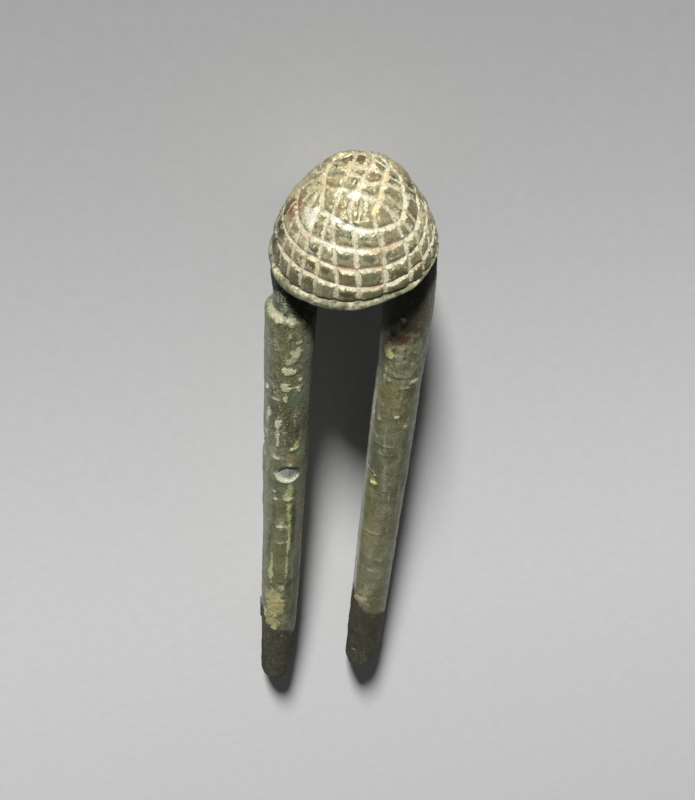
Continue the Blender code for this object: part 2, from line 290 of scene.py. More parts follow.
# %% The dome
start_fresh()
bottom, foot = -1.6, 0.4        # mm: the disc it starts from, and how far up its slightly narrower edge goes
bpy.ops.mesh.primitive_circle_add(vertices=ROUND_POINTS, radius=HEAD_R - 0.1, fill_type="NGON",
                                  location=(0, 0, bottom))
dome = bpy.context.object
bpy.ops.object.transform_apply(location=True, rotation=False, scale=False)
bpy.ops.object.mode_set(mode="EDIT")
bpy.ops.mesh.select_all(action="SELECT")
extrude_to((0, 0, foot), HEAD_R / (HEAD_R - 0.1), (0, 0, bottom + foot))
radius, height = HEAD_R, bottom + foot
for arc in np.linspace(DOME_ARC, APEX_STOP, DOME_STEPS):
    new_radius, new_height = float(radius_at(arc)), float(height_at(arc))
    extrude_to((0, 0, new_height - height), new_radius / radius, (0, 0, new_height))
    radius, height = new_radius, new_height
rim_up = Matrix.Rotation(-math.radians(RIM_TILT), 3, "Y") @ Matrix.Rotation(math.radians(RIM_PITCH), 3, "X")
bpy.ops.mesh.select_all(action="SELECT")
base_cut = (0, 0, RIM_RAISE - RIM_GAP / 2 - RIM_INSIDE)
bpy.ops.mesh.bisect(plane_co=base_cut, plane_no=rim_up.col[2], clear_inner=True, use_fill=True)
bpy.ops.object.mode_set(mode="OBJECT")
print("dome points:", len(dome.data.vertices))

# %% The rim
start_fresh()
bpy.ops.mesh.primitive_cylinder_add(vertices=ROUND_POINTS, radius=RIM_R, depth=RIM_THICK,
                                    location=(0, 0, -(RIM_GAP + RIM_THICK) / 2))
rim = bpy.context.object
bpy.ops.object.transform_apply(location=True, rotation=False, scale=False)
bpy.ops.object.mode_set(mode="EDIT")
bpy.ops.mesh.select_all(action="DESELECT")
bpy.ops.mesh.select_mode(type="EDGE")
bpy.ops.object.mode_set(mode="OBJECT")
for edge in rim.data.edges:
    ends = [rim.data.vertices[i].co.z for i in edge.vertices]
    edge.select = abs(ends[0] - ends[1]) < 1e-6
bpy.ops.object.mode_set(mode="EDIT")
bpy.ops.mesh.bevel(offset=RIM_EDGE, segments=4, affect="EDGES")
bpy.ops.object.mode_set(mode="OBJECT")
for vertex in rim.data.vertices:
    x, y, z = vertex.co
    below = (-RIM_GAP / 2 - z) / RIM_THICK
    vertex.co.x *= RIM_STRETCH if x < 0 else 1
    vertex.co.z = -RIM_GAP / 2 + below * (RIM_GAP / 2 + float(rim_bottom(x, y))) + float(rim_hump(x, y))
rim.location = (*RIM_SHIFT, RIM_RAISE)
rim.rotation_euler = (math.radians(RIM_PITCH), -math.radians(RIM_TILT), 0)
bpy.ops.object.transform_apply(location=True, rotation=True, scale=False)
bpy.ops.object.select_all(action="DESELECT")
dome_lean = Matrix.Rotation(math.radians(DOME_LEAN), 4, "Y")
head_turn = Matrix.Rotation(math.radians(HEAD_TURN), 4, "Z") @ dome_lean
for piece in (dome, rim):
    piece.data.transform(head_turn)
print("rim points:", len(rim.data.vertices))

# %% Stops down the legs
LEG_X = {-1: 5.38, 1: 5.495}    # left and right: from the middle to the leg's axis at the head
LEG_TIP_X = 5.02                # the same at the tips
LEG_DRIFT = 0.39                # both tips stand this much further to the right
LEG_LENGTH = 67.2
LEG_STOPS = 12                  # from the end of the flaked part to the tip
LEG_TOP_R = {-1: 2.37, 1: 2.30}
TIP_R = {-1: 1.84, 1: 1.93}
FORWARD = {-1: 0.08, 1: 0.18}   # how far each tip leans to the front
# metal missing from the outer side below the rim: (distance down the leg, how much)
FLAKED = {-1: ((1.0, 0.5), (3.0, 0.5), (4.8, 0.74), (6.55, 0.74), (6.95, 0.0)),
          1: ((-0.4, 0.60), (4.0, 0.15), (8.0, 0.0))}
ENDS_EARLY = {-1: 0.60, 1: 1.35}
ROUND_END = 1.2                 # how long the left tip's rounding is
ROUND_STOPS = (15, 30, 45, 60, 75, 86)          # the rounding's stops, degrees along its quarter circle
TIP_WORN = {-1: 0.25, 1: 0}     # metal worn from the inner side near the tip
WORN_FROM, WORN_OVER = 57, 9


def leg_ends(side):
    """The leg's axis at the head and at the tip."""
    root = Vector((side * LEG_X[side], 0, 0))
    tip = Vector((side * LEG_TIP_X + LEG_DRIFT, -FORWARD[side], -LEG_LENGTH))
    return root, tip


def leg_stops(side):
    """Stops down the leg as (centre, radius)."""
    root, tip = leg_ends(side)
    straight = LEG_LENGTH - ENDS_EARLY[side] - (ROUND_END if side < 0 else 0)
    downs = [(down, missing, 1.0) for down, missing in FLAKED[side]]
    first = downs[-1][0]
    downs += [(first + (straight - first) * i / LEG_STOPS, 0.0, 1.0) for i in range(1, LEG_STOPS + 1)]
    if side < 0:
        for angle in ROUND_STOPS:
            bend = math.radians(angle)
            downs.append((straight + ROUND_END * math.sin(bend), 0.0, math.cos(bend) ** 0.7))
    stops = []
    for down, missing, share in downs:
        along = down / LEG_LENGTH
        worn = TIP_WORN[side] * min(max((down - WORN_FROM) / WORN_OVER, 0), 1)
        radius = share * (LEG_TOP_R[side] + (TIP_R[side] - LEG_TOP_R[side]) * along) - missing / 2 - worn
        stops.append((root + (tip - root) * along - Vector((side * missing / 2 + worn, 0, 0)), radius))
    return stops


print("stops down each leg:", [len(leg_stops(side)) for side in (-1, 1)])

# %% [markdown]
# A plane cuts the left tip off at a slant. Two planes cut the right one, at both sides, and leave a blunt
# point near its inner side.

# %% Make the legs
LEG_POINTS = 48                 # round a leg
# for each leg, the planes: a point on it from the end of the axis, and the direction of what is cut away
TIP_CUTS = {-1: (((0.2, 0, 0), (2.4, 0.3, -1.3)),),
            1: (((-1.23, 0, 0), (4.4, 0, -3.86)), ((-1.23, 0, 0), (-2.6, 0, -0.7)))}


def make_leg(side):
    """Extrudes a disc down the leg's stops and cuts the tip."""
    start_fresh()
    stops = leg_stops(side)
    centre, radius = stops[0]
    bpy.ops.mesh.primitive_circle_add(vertices=LEG_POINTS, radius=radius, fill_type="NGON", location=centre)
    leg = bpy.context.object
    bpy.ops.object.transform_apply(location=True, rotation=False, scale=False)
    bpy.ops.object.mode_set(mode="EDIT")
    bpy.ops.mesh.select_all(action="SELECT")
    for next_centre, next_radius in stops[1:]:
        extrude_to(next_centre - centre, next_radius / radius, next_centre)
        centre, radius = next_centre, next_radius
    end = leg_ends(side)[1] + Vector((0, 0, ENDS_EARLY[side]))
    for point, away in TIP_CUTS[side]:
        bpy.ops.mesh.select_all(action="SELECT")
        bpy.ops.mesh.bisect(plane_co=end + Vector(point), plane_no=away, clear_outer=True, use_fill=True)
    bpy.ops.mesh.select_all(action="SELECT")
    bpy.ops.mesh.normals_make_consistent(inside=False)
    bpy.ops.object.mode_set(mode="OBJECT")
    return leg


legs = [make_leg(side) for side in (-1, 1)]
print("leg points:", [len(leg.data.vertices) for leg in legs])

# %% [markdown]
# ## One skin over it all
#
# The solids overlap where the casting is one piece of metal. A voxel remesh pours one even skin over them,
# as wax would, and a light smoothing rounds the seams as wear does.

# %% Join and remesh
VOXEL = 0.088                   # mm


def apply_modifier(piece, name, kind, **settings):
    modifier = piece.modifiers.new(name, kind)
    for key, value in settings.items():
        setattr(modifier, key, value)
    bpy.context.view_layer.objects.active = piece
    bpy.ops.object.modifier_apply(modifier=name)


start_fresh()
for piece in (dome, rim, *legs):
    piece.select_set(True)
bpy.context.view_layer.objects.active = dome
bpy.ops.object.join()
pin = bpy.context.object
pin.name = "topknot_pin_bronze"
pin.data.transform(Matrix.Translation(pin.location))
pin.location = (0, 0, 0)
apply_modifier(pin, "skin", "REMESH", mode="VOXEL", voxel_size=VOXEL, adaptivity=0.0)
apply_modifier(pin, "worn_seams", "SMOOTH", factor=0.5, iterations=4)
print("skin faces:", len(pin.data.polygons))

# %% [markdown]
# ## Random numbers that run smoothly
#
# Old metal is never even, so nearly every feature below is varied a little. A plain random number for each
# point would look like sand. Here random numbers sit on a cubic grid of a chosen size, and any point
# between takes a soft blend of its eight neighbours, so a larger size gives broader, calmer changes.

# %% Soft noise
def soft_noise(points, size, seed):
    """Smooth random numbers from -1 to 1 that change over about this size."""
    place = points / size
    corner = np.floor(place).astype(np.int64)
    part = place - corner
    part = part * part * (3 - 2 * part)
    total = np.zeros(len(points))
    for step in np.ndindex(2, 2, 2):
        key = (corner + step) @ np.array([73856093, 19349663, 83492791]) + seed * 2654435
        key = ((key ^ (key >> 13)) * 1274126177) & 0xffffffff
        value = ((key ^ (key >> 15)) & 0xffff) / 32767.5 - 1
        total += value * np.prod(np.where(step, part, 1 - part), axis=1)
    return total


def grain(points, size, seed, layers=3):
    """Several layers of soft noise, each half the size and a little weaker."""
    total = sum(0.6 ** i * soft_noise(points, size * 0.5 ** i, seed + i) for i in range(layers))
    return total / sum(0.6 ** i for i in range(layers))


def ramp(low, high, value):
    """Nought below low, one above high, and a soft change between."""
    share = np.clip((value - low) / (high - low), 0, 1)
    return share * share * (3 - 2 * share)


def ridge(middle, width, value):
    """One at the middle, falling softly to nought over about this width."""
    return np.exp(-((value - middle) / width) ** 2)


def way_round(around, angle):
    """From an angle to other angles by the shorter way round; degrees in, radians out."""
    return np.radians((around - angle + 180) % 360 - 180)


print("noise sample:", grain(np.array([[1.0, 2.0, 3.0]]), 0.7, 1).round(3))

# %% [markdown]
# ## The lattice
#
# The maker cut rings round the dome, then upright lines from the rim to the crown, and a square lattice
# over the crown, all by hand and eye. The lines drift, so each ring is given by its distance from the apex
# at twelve places round the dome, and a smooth curve runs through them. Uprights lean to the left as they
# climb. The crown's lines are bent strokes, given in plan from above.

# %% Rings, uprights and strokes
# every 30 degrees from the dome's left round by the front: distances from the apex; then width
RINGS = (((11.45, 11.4, 11.2, 11.3, 10.95, 10.25, 9.8, 9.7, 9.9, 10.3, 10.75, 11.15), 0.50),
         ((9.75, 9.8, 9.65, 9.58, 9.28, 8.85, 7.7, 7.3, 7.7, 8.25, 8.85, 9.4), 0.47),
         ((7.1, 8.1, 8.0, 7.87, 7.65, 7.4, 5.8, 5.3, 5.9, 6.4, 6.6, 6.7), 0.54))
# angle round the dome near the rim, how far it leans left by the crown, width
UPRIGHTS = ((-104, 9, 0.32), (-90, 9, 0.32), (-77, 9, 0.34), (-63, 9, 0.36), (-50, 9, 0.38), (-38, 9, 0.38),
            (-26, 7, 0.40), (-9.8, 14.5, 0.46), (5.2, 8.5, 0.50), (24.3, 3, 0.54), (45, 0.5, 0.54),
            (59.5, -1, 0.42), (72.5, -4, 0.40), (86, -6, 0.36), (101, -8, 0.36),
            (117, -5, 0.36), (131, 0, 0.38), (147, 4, 0.36), (161, 5, 0.40), (176, 6, 0.36),
            (191, 7, 0.38), (206, 8, 0.36), (221, 9, 0.40), (237, 9, 0.36))
SHORT_UPRIGHTS = ((-110, -55), (40, 110))       # between these angles the uprights end at the third ring
CROWN_EDGE = (                  # the line that bounds the crown: (x, y) in plan from above
    (-2.46, 0.82), (-2.94, 0.23), (-3.16, -0.28), (-3.28, -1.0), (-3.3, -1.76), (-3.32, -2.24),
    (-3.29, -2.86), (-3.1, -3.35), (-2.22, -3.99), (-1.31, -4.48), (0.2, -4.85), (1.0, -4.7), (1.7, -4.5),
    (2.4, -4.1), (3.1, -3.6), (3.5, -3.04), (3.61, -2.39), (3.58, -1.94), (3.36, -1.09), (3.07, -0.4),
    (2.56, 0.07), (2.02, 0.3), (1.42, 0.6), (0.85, 0.8), (0.1, 0.95), (-0.3, 1.25), (-1.0, 1.7),
    (-1.8, 1.35))
CROWN_WIDTH = 0.46
LINE_DEPTH = 0.13
STROKES = (                     # (x, y) in plan from above, then width
    (((-3.2, -1.6), (-2.5, -2.1), (-1.6, -2.45), (-0.6, -2.8), (0.3, -3.0), (1.3, -3.02), (2.16, -3.14),
      (2.75, -3.46), (3.65, -3.92)), 0.50),
    (((2.2, -3.15), (3.5, -3.23), (4.46, -3.06), (5.12, -3.14)), 0.42),
    (((1.4, -2.4), (2.7, -2.39), (3.63, -2.36), (4.44, -2.26), (5.4, -2.1)), 0.40),
    (((-3.1, -0.8), (-2.4, -1.25), (-0.95, -1.5), (-0.2, -1.85), (0.6, -2.1), (1.5, -1.7), (2.69, -1.37),
      (3.57, -1.12), (4.29, -0.79), (5.4, -0.2)), 0.42),
    (((-3.0, -0.1), (-2.2, -0.45), (-0.95, -0.75), (-0.15, -0.95), (0.85, -1.0), (1.9, -0.95), (3.3, -0.45),
      (5.2, 0.6)), 0.42),
    (((-2.8, 0.6), (-1.9, 0.75), (-1.2, 0.95), (-0.4, 0.75), (0.3, 0.15), (1.2, -0.05), (2.2, -0.1),
      (3.2, 0.3), (5.0, 1.4)), 0.36),
    (((-0.9, 1.4), (-1.0, 0), (-1.3, -0.9), (-1.55, -1.7), (-1.85, -2.4), (-2.0, -3.0), (-2.3, -3.9)), 0.44),
    (((0.4, 1.2), (0.5, -0.5), (0.1, -1.4), (-0.4, -2.1), (-0.65, -2.8), (-0.8, -3.4), (-0.9, -3.9),
      (-0.75, -4.4)), 0.42),
    (((1.9, 0.5), (1.67, -0.71), (1.57, -1.65), (1.41, -2.5), (1.28, -3.1), (1.0, -3.88), (1.46, -4.49)),
     0.56),
    (((-0.05, -3.3), (-0.1, -4.3)), 0.30),
    (((-3.3, -1.4), (-3.88, -1.33), (-4.35, -1.33), (-4.76, -1.55)), 0.40),
    (((-3.44, -0.67), (-3.8, -0.6), (-4.36, -0.15), (-4.9, -0.17)), 0.40),
    (((-3.43, 0.12), (-3.86, 0.54), (-4.25, 1.22), (-4.8, 1.56)), 0.40),
    (((-2.98, 0.86), (-3.53, 1.88), (-3.92, 2.85)), 0.40))
print("rings, uprights and strokes:", len(RINGS), len(UPRIGHTS), len(STROKES))

# %% [markdown]
# Four small functions turn those lists into smooth curves: round the dome for a ring, the crown's bound and
# the rim, and over the map for a stroke.

# %% Curves through the listed places
RING_STEP = 30                  # degrees between a ring's listed places


def ring_at(values, around):
    """A smooth closed curve through the ring's twelve distances."""
    values = np.array(values)
    place = (around + 90) / RING_STEP
    first = np.floor(place).astype(int)
    share = place - first
    before, near, far, after = [values[(first + i) % 12] for i in (-1, 0, 1, 2)]
    bend = 2 * before - 5 * near + 4 * far - after + share * (3 * (near - far) + after - before)
    return near + 0.5 * share * (far - before + share * bend)


def crown_at(around):
    """Distance from the apex to the line that bounds the crown."""
    plan = np.array(CROWN_EDGE)
    angles = np.degrees(np.arctan2(plan[:, 0], -plan[:, 1]))
    order = np.argsort(angles)
    reach = arc_at(np.linalg.norm(plan, axis=1))
    return np.interp(around, angles[order], reach[order], period=360)


def rim_at(around):
    """Distance from the apex to the groove above the tilted rim."""
    sine, cosine = np.sin(np.radians(around)), np.cos(np.radians(around))
    tilted = sine * math.tan(math.radians(RIM_TILT)) - cosine * math.tan(math.radians(RIM_PITCH))
    return DOME_ARC - (RIM_RAISE + HEAD_R * tilted + rim_hump(sine, -cosine))


def bent_path(plan, parts=4):
    """A smooth path through plan points, on the flattened dome."""
    plan = np.array(plan, float)
    radius = np.linalg.norm(plan, axis=1)
    flat = plan * (arc_at(radius) / np.maximum(radius, 1e-6))[:, None]
    padded = np.vstack([2 * flat[0] - flat[1], flat, 2 * flat[-1] - flat[-2]])
    path = []
    for a, b, c, d in zip(padded, padded[1:], padded[2:], padded[3:]):
        for t in np.arange(parts) / parts:
            path.append(b + 0.5 * t * (c - a + t * (2 * a - 5 * b + 4 * c - d + t * (3 * (b - c) + d - a))))
    return np.array(path + [flat[-1]])


print("the first ring at the front, mm from the apex:", ring_at(RINGS[0][0], np.zeros(1)).round(2))

# %% [markdown]
# ## Finding the way on the dome
#
# To cut a line we need to know, for each point of the mesh, how far it is from that line over the surface.
# The angle of the point above the dome's base gives its distance from the apex, through the outline table.
# For the crown the dome is also flattened like a map: the distance from the apex stays true, so short
# distances near the top are true too.

# %% Find places on the dome
head_axes = np.array(head_turn.to_3x3())
outline_tilt = np.arctan2(outline_z, outline_r)[::-1]
outline_tilt_arc = outline_arc[::-1]


def on_dome(points):
    """For each point: its distance from the apex, its angle from the front, and its place on the map."""
    local = points @ head_axes
    tilt = np.arctan2(local[:, 2], np.hypot(local[:, 0], local[:, 1]))
    arc = np.where(local[:, 2] > 0, np.interp(tilt, outline_tilt, outline_tilt_arc), DOME_ARC - local[:, 2])
    turned = np.arctan2(local[:, 0], -local[:, 1])
    flat = arc[:, None] * np.column_stack([np.sin(turned), -np.cos(turned)])
    return arc, np.degrees(turned), flat


def path_distance(flat, path):
    """How far each place on the map is from a path."""
    best = np.full(len(flat), 99.0)
    for start, end in zip(path, path[1:]):
        run = end - start
        along = np.clip((flat - start) @ run / (run @ run), 0, 1)
        best = np.minimum(best, np.linalg.norm(flat - start - along[:, None] * run, axis=1))
    return best


print("the front of the base, mm from the apex:", on_dome(np.array([[0.0, -HEAD_R, 0.0]]))[0].round(2))

# %% [markdown]
# Now every line is laid in turn. Hand-cut lines sway, and differ in width and depth along the way, so noise
# is added to all three. The deepest line wins where two of them cross. Each cell between the lines gets a
# number of its own, so that cells can differ.

# %% Read the lattice
def read_lattice(points):
    """How deep, how limy and how near the closest line each point is, and which cell it is in."""
    arc, around, flat = on_dome(points)
    sway = 0.085 * grain(points, 1.2, 11, 3)
    drift = 0.085 * grain(points, 1.1, 21, 3)
    arc = arc + sway
    radius = np.maximum(radius_at(arc), 0.8)
    around = around + np.degrees(drift / radius)
    flat = flat + np.column_stack([drift, sway])
    wide = 1 + 0.42 * grain(points, 0.8, 31, 2)
    deep = 1 + 0.30 * grain(points, 1.9, 41, 2)
    depth = np.zeros(len(points))
    lime = np.zeros(len(points))
    nearest = np.full(len(points), 9.0)
    crown_edge, rim_edge = crown_at(around), rim_at(around)
    third = ring_at(RINGS[2][0], around)

    def cut(distance, width, mask):
        spread = 0.46 * width * wide
        shape = ridge(0, spread, distance) * mask
        np.maximum(depth, LINE_DEPTH * deep * shape, out=depth)
        np.maximum(lime, np.exp(-(distance / (1.15 * spread)) ** 4) * mask, out=lime)
        np.minimum(nearest, distance + 9 * (1 - mask), out=nearest)

    for values, width in RINGS:
        cut(np.abs(arc - ring_at(values, around)), width, 1.0)
    slope = (crown_at(around + 2) - crown_at(around - 2)) / (radius * math.radians(4))
    cut(np.abs(arc - crown_edge) / np.sqrt(1 + slope ** 2), CROWN_WIDTH, 1.0)
    cell = (arc > crown_edge) + sum(arc > ring_at(values, around) for values, width in RINGS)
    for base, lean, width in UPRIGHTS:
        middle = base - lean * np.clip((11.6 - arc) / 5, 0, 1.6) ** 1.4
        away = way_round(around, middle)
        short = any(low < base < high for low, high in SHORT_UPRIGHTS)
        top = third if short else crown_edge
        mask = ramp(-0.12, 0.05, arc - top) * ramp(0.0, 0.15, rim_edge - arc)
        cut(np.abs(away) * radius, width, mask)
        cell = cell + 7 * (away > 0)
    near_top = arc < 8.5
    for plan, width in STROKES:
        distance = np.full(len(points), 9.0)
        distance[near_top] = path_distance(flat[near_top], bent_path(plan))
        cut(distance, width, ramp(-0.05, 0.12, third - arc))
    return {"arc": arc, "around": around, "flat": flat, "depth": depth, "lime": lime, "nearest": nearest,
            "cell": cell}


def cell_random(cell, seed):
    """One random number from -1 to 1 for each cell."""
    key = (cell.astype(np.int64) * 668265263 + seed * 374761393) & 0xffffffff
    key = ((key ^ (key >> 13)) * 1274126177) & 0xffffffff
    return ((key ^ (key >> 16)) & 0xffff) / 32767.5 - 1


dome_spot = np.array([[0.0, -5.0, 6.0]])
for name, value in read_lattice(dome_spot).items():
    print("at a spot on the dome,", name, "is", value.round(2).tolist())

# %% [markdown]
# ## Places on the legs
#
# On a leg a place is given by how far down it is and by the angle round its axis, with nought at the front.
# Crust, pits, stains and a little painted shade under the rim are listed as oval marks in those terms. The
# ragged edge of each mark comes from noise added to its distance, so no two are alike.

# %% Marks on the legs
# for each leg: mm down, angle, half length down, half width across, height in mm, colour, strength
LEG_MARKS = {-1: (
    (12, -12, 7, 1.3, 0, "#69653e", 0.42), (13, 45, 8, 0.8, 0, "#7f8272", 0.45),
    (14, -82, 8, 0.7, 0, "#868778", 0.5), (41, -18, 8, 1.1, 0, "#6d7148", 0.5),
    (32, -72, 12, 0.9, 0, "#7b7d6a", 0.45), (34, 38, 12, 0.55, 0, "#8a8c7c", 0.45),
    # the darkest marks, 2.4 to 4.1 mm down at the left leg's top, are painted shade of the rim and dome over
    # dark patina
    (4, -40, 2.2, 2.2, 0, "#2e3028", 0.9), (2.4, -80, 2.4, 2, 0, "#12110c", 0.92),
    (4.1, -26, 1.3, 0.8, 0, "#1c1b13", 0.8), (4.6, -50, 1.3, 1.2, 0.032, "#99a088", 0.42),
    (6.55, -72, 0.32, 1.2, 0.08, "#858568", 0.75), (6.65, -45, 0.26, 1.1, 0.08, "#969479", 0.75),
    (6, -36, 0.45, 0.9, 0.032, "#8a937a", 0.5), (25.2, -98, 1.3, 0.7, -0.16, "#8f8f7c", 0.5),
    (6.7, -8, 0.62, 0.42, 0.08, "#8e8d72", 0.8), (6.95, -42, 0.28, 0.15, 0.05, "#b5b297", 0.8),
    (7.3, -70, 0.8, 1.2, 0, "#5f6238", 0.6), (8.3, -10, 0.5, 0.3, 0.04, "#a9a37e", 0.55),
    (9.2, 13, 0.25, 0.36, 0.05, "#b9b492", 0.85), (10.4, 8, 0.75, 0.55, 0.05, "#b4b48e", 0.72),
    (11.4, -4, 0.5, 0.55, 0.05, "#a9a884", 0.66), (11.9, -13, 0.3, 0.3, 0.05, "#b3ad8a", 0.75),
    (12.9, -11, 0.58, 0.66, 0.07, "#bfbf9b", 0.85), (14.2, 19, 0.32, 0.2, 0.05, "#c6c2a4", 0.85),
    (15, -17, 0.75, 0.45, 0.07, "#b4b590", 0.82), (15.2, 5, 0.14, 0.75, 0.04, "#bcb48e", 0.8),
    (15.4, 16, 0.45, 0.2, 0.05, "#b9b694", 0.8), (16.5, -16, 0.65, 0.18, 0.04, "#bcb792", 0.8),
    (16, -67, 0.42, 0.32, 0.07, "#d2d3c6", 0.9), (15.2, -52, 0.6, 0.3, 0, "#8f9080", 0.6),
    (17, -43, 0.14, 0.4, 0.03, "#cfcbb4", 0.8), (19.3, -60, 0.8, 0.3, 0.04, "#b3b39c", 0.7),
    (16.9, 12, 1.8, 1, 0, "#5d6c56", 0.6), (20.3, -34, 0.75, 0.34, 0.07, "#bfbea6", 0.9),
    (22.1, -32, 1.7, 0.2, 0.05, "#b9b79c", 0.8), (20.4, -66, 0.9, 0.28, 0.05, "#a9a993", 0.62),
    (22.6, -68, 1, 0.26, 0.05, "#a9a993", 0.62), (24.8, -44, 0.9, 0.45, 0.03, "#a8a68e", 0.5),
    (25.4, -35, 0.25, 0.32, 0.05, "#bebba2", 0.75), (23.3, 16, 0.62, 0.34, 0.06, "#a5ab60", 0.9),
    (24, 10, 0.22, 0.42, 0.04, "#c6c8a0", 0.8), (25.6, 8, 1, 0.42, 0.03, "#8f7848", 0.55),
    (26.2, 3, 0.3, 0.3, 0.04, "#b7ac88", 0.7), (30, 10, 0.9, 0.28, 0.04, "#8f9a56", 0.75),
    (31.2, 2, 1.1, 0.52, 0.06, "#a4a878", 0.8), (31.8, -2, 0.22, 0.6, 0.05, "#c3c3a2", 0.75),
    (30.6, -38, 0.25, 0.25, 0.04, "#bdbaa4", 0.7), (31.8, -33, 0.3, 0.3, 0.04, "#c6c4ac", 0.75),
    (34.6, 6, 2.6, 0.32, 0.05, "#a3a86c", 0.75), (35.9, -15, 0.85, 0.85, 0.05, "#a8a584", 0.62),
    (36.3, -20, 0.18, 0.35, 0.05, "#cfcbae", 0.85), (38.2, 8, 2.3, 0.18, 0.05, "#b0ac80", 0.75),
    (39, -15, 0.22, 0.85, 0.04, "#aaa684", 0.6), (43, -41, 2.9, 0.15, 0.04, "#a5a480", 0.7),
    (43.6, 5, 3.2, 0.16, 0.05, "#b0ac86", 0.75), (45, -42, 1.2, 0.4, 0.04, "#a7aa7a", 0.7),
    (47.1, -8, 0.5, 0.35, 0.05, "#b3ac84", 0.7), (48.4, -26, 1.6, 1.1, 0.035, "#a49c70", 0.62),
    (50.9, -32, 2.1, 1.35, 0.05, "#a89f70", 0.76), (50.2, -12, 0.9, 0.62, 0.05, "#a39468", 0.6),
    (52.6, -62, 0.9, 0.4, 0.05, "#b9b08a", 0.75), (53.8, -36, 1.3, 1.1, 0.04, "#a09970", 0.68),
    (55, -28, 0.3, 0.45, 0.04, "#b3a882", 0.8), (56.6, 0, 0.3, 0.2, 0.03, "#988d68", 0.8),
    (53.4, -3, 1.4, 0.8, 0.03, "#8d8560", 0.55), (62.6, 7, 0.2, 0.18, 0.02, "#9a5e50", 0.8),
    (63, 18, 0.14, 0.3, 0.02, "#7a4438", 0.7), (35.5, 22, 5.2, 0.24, 0, "#35341f", 0.7),
    (47.6, 17, 3, 0.24, 0, "#4a3420", 0.7), (60, 56, 2.6, 0.3, 0, "#25241a", 0.8),
    (62, -92, 5.5, 1.2, 0, "#15140e", 0.8), (53.5, -98, 1.5, 0.25, 0.2, "#3a3424", 0.8),
    (48, -92, 0.7, 0.35, -0.12, "#b39c7a", 0.6)
), 1: (
    (42.5, -10, 7, 2.4, 0, "#85846a", 0.55), (53, 20, 1.2, 1.6, 0, "#6c6a4e", 0.4),
    (17, -30, 5.5, 1.5, 0, "#767048", 0.45), (36, -50, 9, 0.9, 0, "#777346", 0.4),
    (27, 25, 5.5, 1.1, 0, "#575742", 0.5), (17.5, 25, 2, 0.7, 0, "#4f4d36", 0.5),
    (7.9, -24, 0.3, 0.26, 0.06, "#b4b3a4", 0.85), (9, -34, 1, 0.22, 0.04, "#807e6a", 0.6),
    (8.6, -8, 0.9, 0.8, 0, "#2c291e", 0.7), (10.3, -24, 0.6, 1.35, 0.03, "#573426", 0.85),
    (9.2, 10, 0.85, 0.7, 0, "#40261c", 0.85), (6, 35, 5, 1.8, 0, "#454134", 0.75),
    (10.2, -48, 0.3, 0.3, 0.03, "#583425", 0.7), (12.1, -55, 1.1, 0.5, 0.06, "#cac08c", 0.92),
    (12.9, -50, 0.7, 0.45, 0.06, "#dccf94", 0.95), (11.4, -18, 0.5, 0.75, 0.04, "#9c8f6e", 0.62),
    (12.2, -26, 0.75, 0.5, 0.04, "#958c6c", 0.58), (13.3, -21, 0.65, 0.8, 0.035, "#8f9682", 0.5),
    (15.2, -26, 0.5, 1.4, 0.035, "#8d9080", 0.48), (16.2, 25, 0.32, 0.5, 0.06, "#bab896", 0.85),
    (16.9, 2, 0.12, 0.75, 0.03, "#b0ac90", 0.7), (15.9, -55, 1.7, 0.16, 0.04, "#8f9478", 0.65),
    (16.2, -40, 0.2, 0.3, 0.04, "#b0b088", 0.7), (17.9, -50, 1.6, 0.55, 0, "#6e6236", 0.6),
    (17.4, 18, 1, 0.5, 0, "#565030", 0.6), (19.3, -15, 0.6, 0.5, 0.035, "#847c5a", 0.5),
    (19.8, -52, 0.3, 0.3, 0.03, "#a08a74", 0.6), (20.9, -8, 0.2, 0.34, 0.05, "#bfc2a4", 0.8),
    (21.8, -58, 0.35, 0.35, 0.05, "#b3b493", 0.75), (21.3, -80, 0.9, 0.18, -0.06, "#34321f", 0.8),
    (21.6, 16, 1.2, 0.55, 0.03, "#7d6c46", 0.55), (22.5, 17, 0.3, 0.28, 0.04, "#a99a80", 0.7),
    (24.5, -52, 0.35, 0.35, 0.04, "#a5a88e", 0.6), (24.3, -10, 0.1, 0.45, 0.03, "#8a7a58", 0.6),
    (25.4, -24, 0.12, 0.9, 0.03, "#8f9180", 0.6), (26.7, -26, 0.1, 0.9, 0.03, "#8f9180", 0.6),
    (28.4, -45, 1.5, 0.7, 0, "#4c5046", 0.5), (30.9, -60, 0.55, 0.52, -0.08, "#97923c", 0.85),
    (31.4, -52, 0.26, 0.42, 0.05, "#c3c28c", 0.9), (29.6, -66, 0.14, 0.55, -0.1, "#2c2a1c", 0.95),
    (30.2, -48, 0.14, 0.24, 0.05, "#c3c4b2", 0.8), (33.4, -54, 0.9, 0.5, 0.03, "#7f6f4a", 0.5),
    (32.2, -20, 0.12, 0.6, 0.03, "#90917c", 0.5), (39.4, -40, 4, 0.75, 0, "#8a8262", 0.45),
    (39.5, -36, 0.14, 0.9, 0.03, "#a09c80", 0.5), (44.2, -5, 0.3, 0.4, 0.04, "#8f957a", 0.55),
    (46.1, -24, 0.2, 0.4, 0.03, "#aaa68c", 0.55), (50.4, -36, 0.9, 0.75, 0.03, "#a59b7c", 0.6),
    (51.9, -60, 0.85, 0.55, 0.05, "#aaa27e", 0.72), (60.5, -96, 6.5, 1.2, 0, "#15140e", 0.8),
    (52, -43, 0.6, 0.5, 0.03, "#bdb494", 0.75), (51.5, -30, 0.35, 0.35, 0.03, "#b5ad90", 0.7),
    (52.6, -22, 0.4, 0.4, 0.03, "#9c9270", 0.55), (62.2, -50, 0.18, 0.4, 0.04, "#a39a84", 0.8),
    (61, -60, 0.3, 0.2, 0, "#5e5a48", 0.6)
)}
print("marks on the legs:", {side: len(marks) for side, marks in LEG_MARKS.items()})

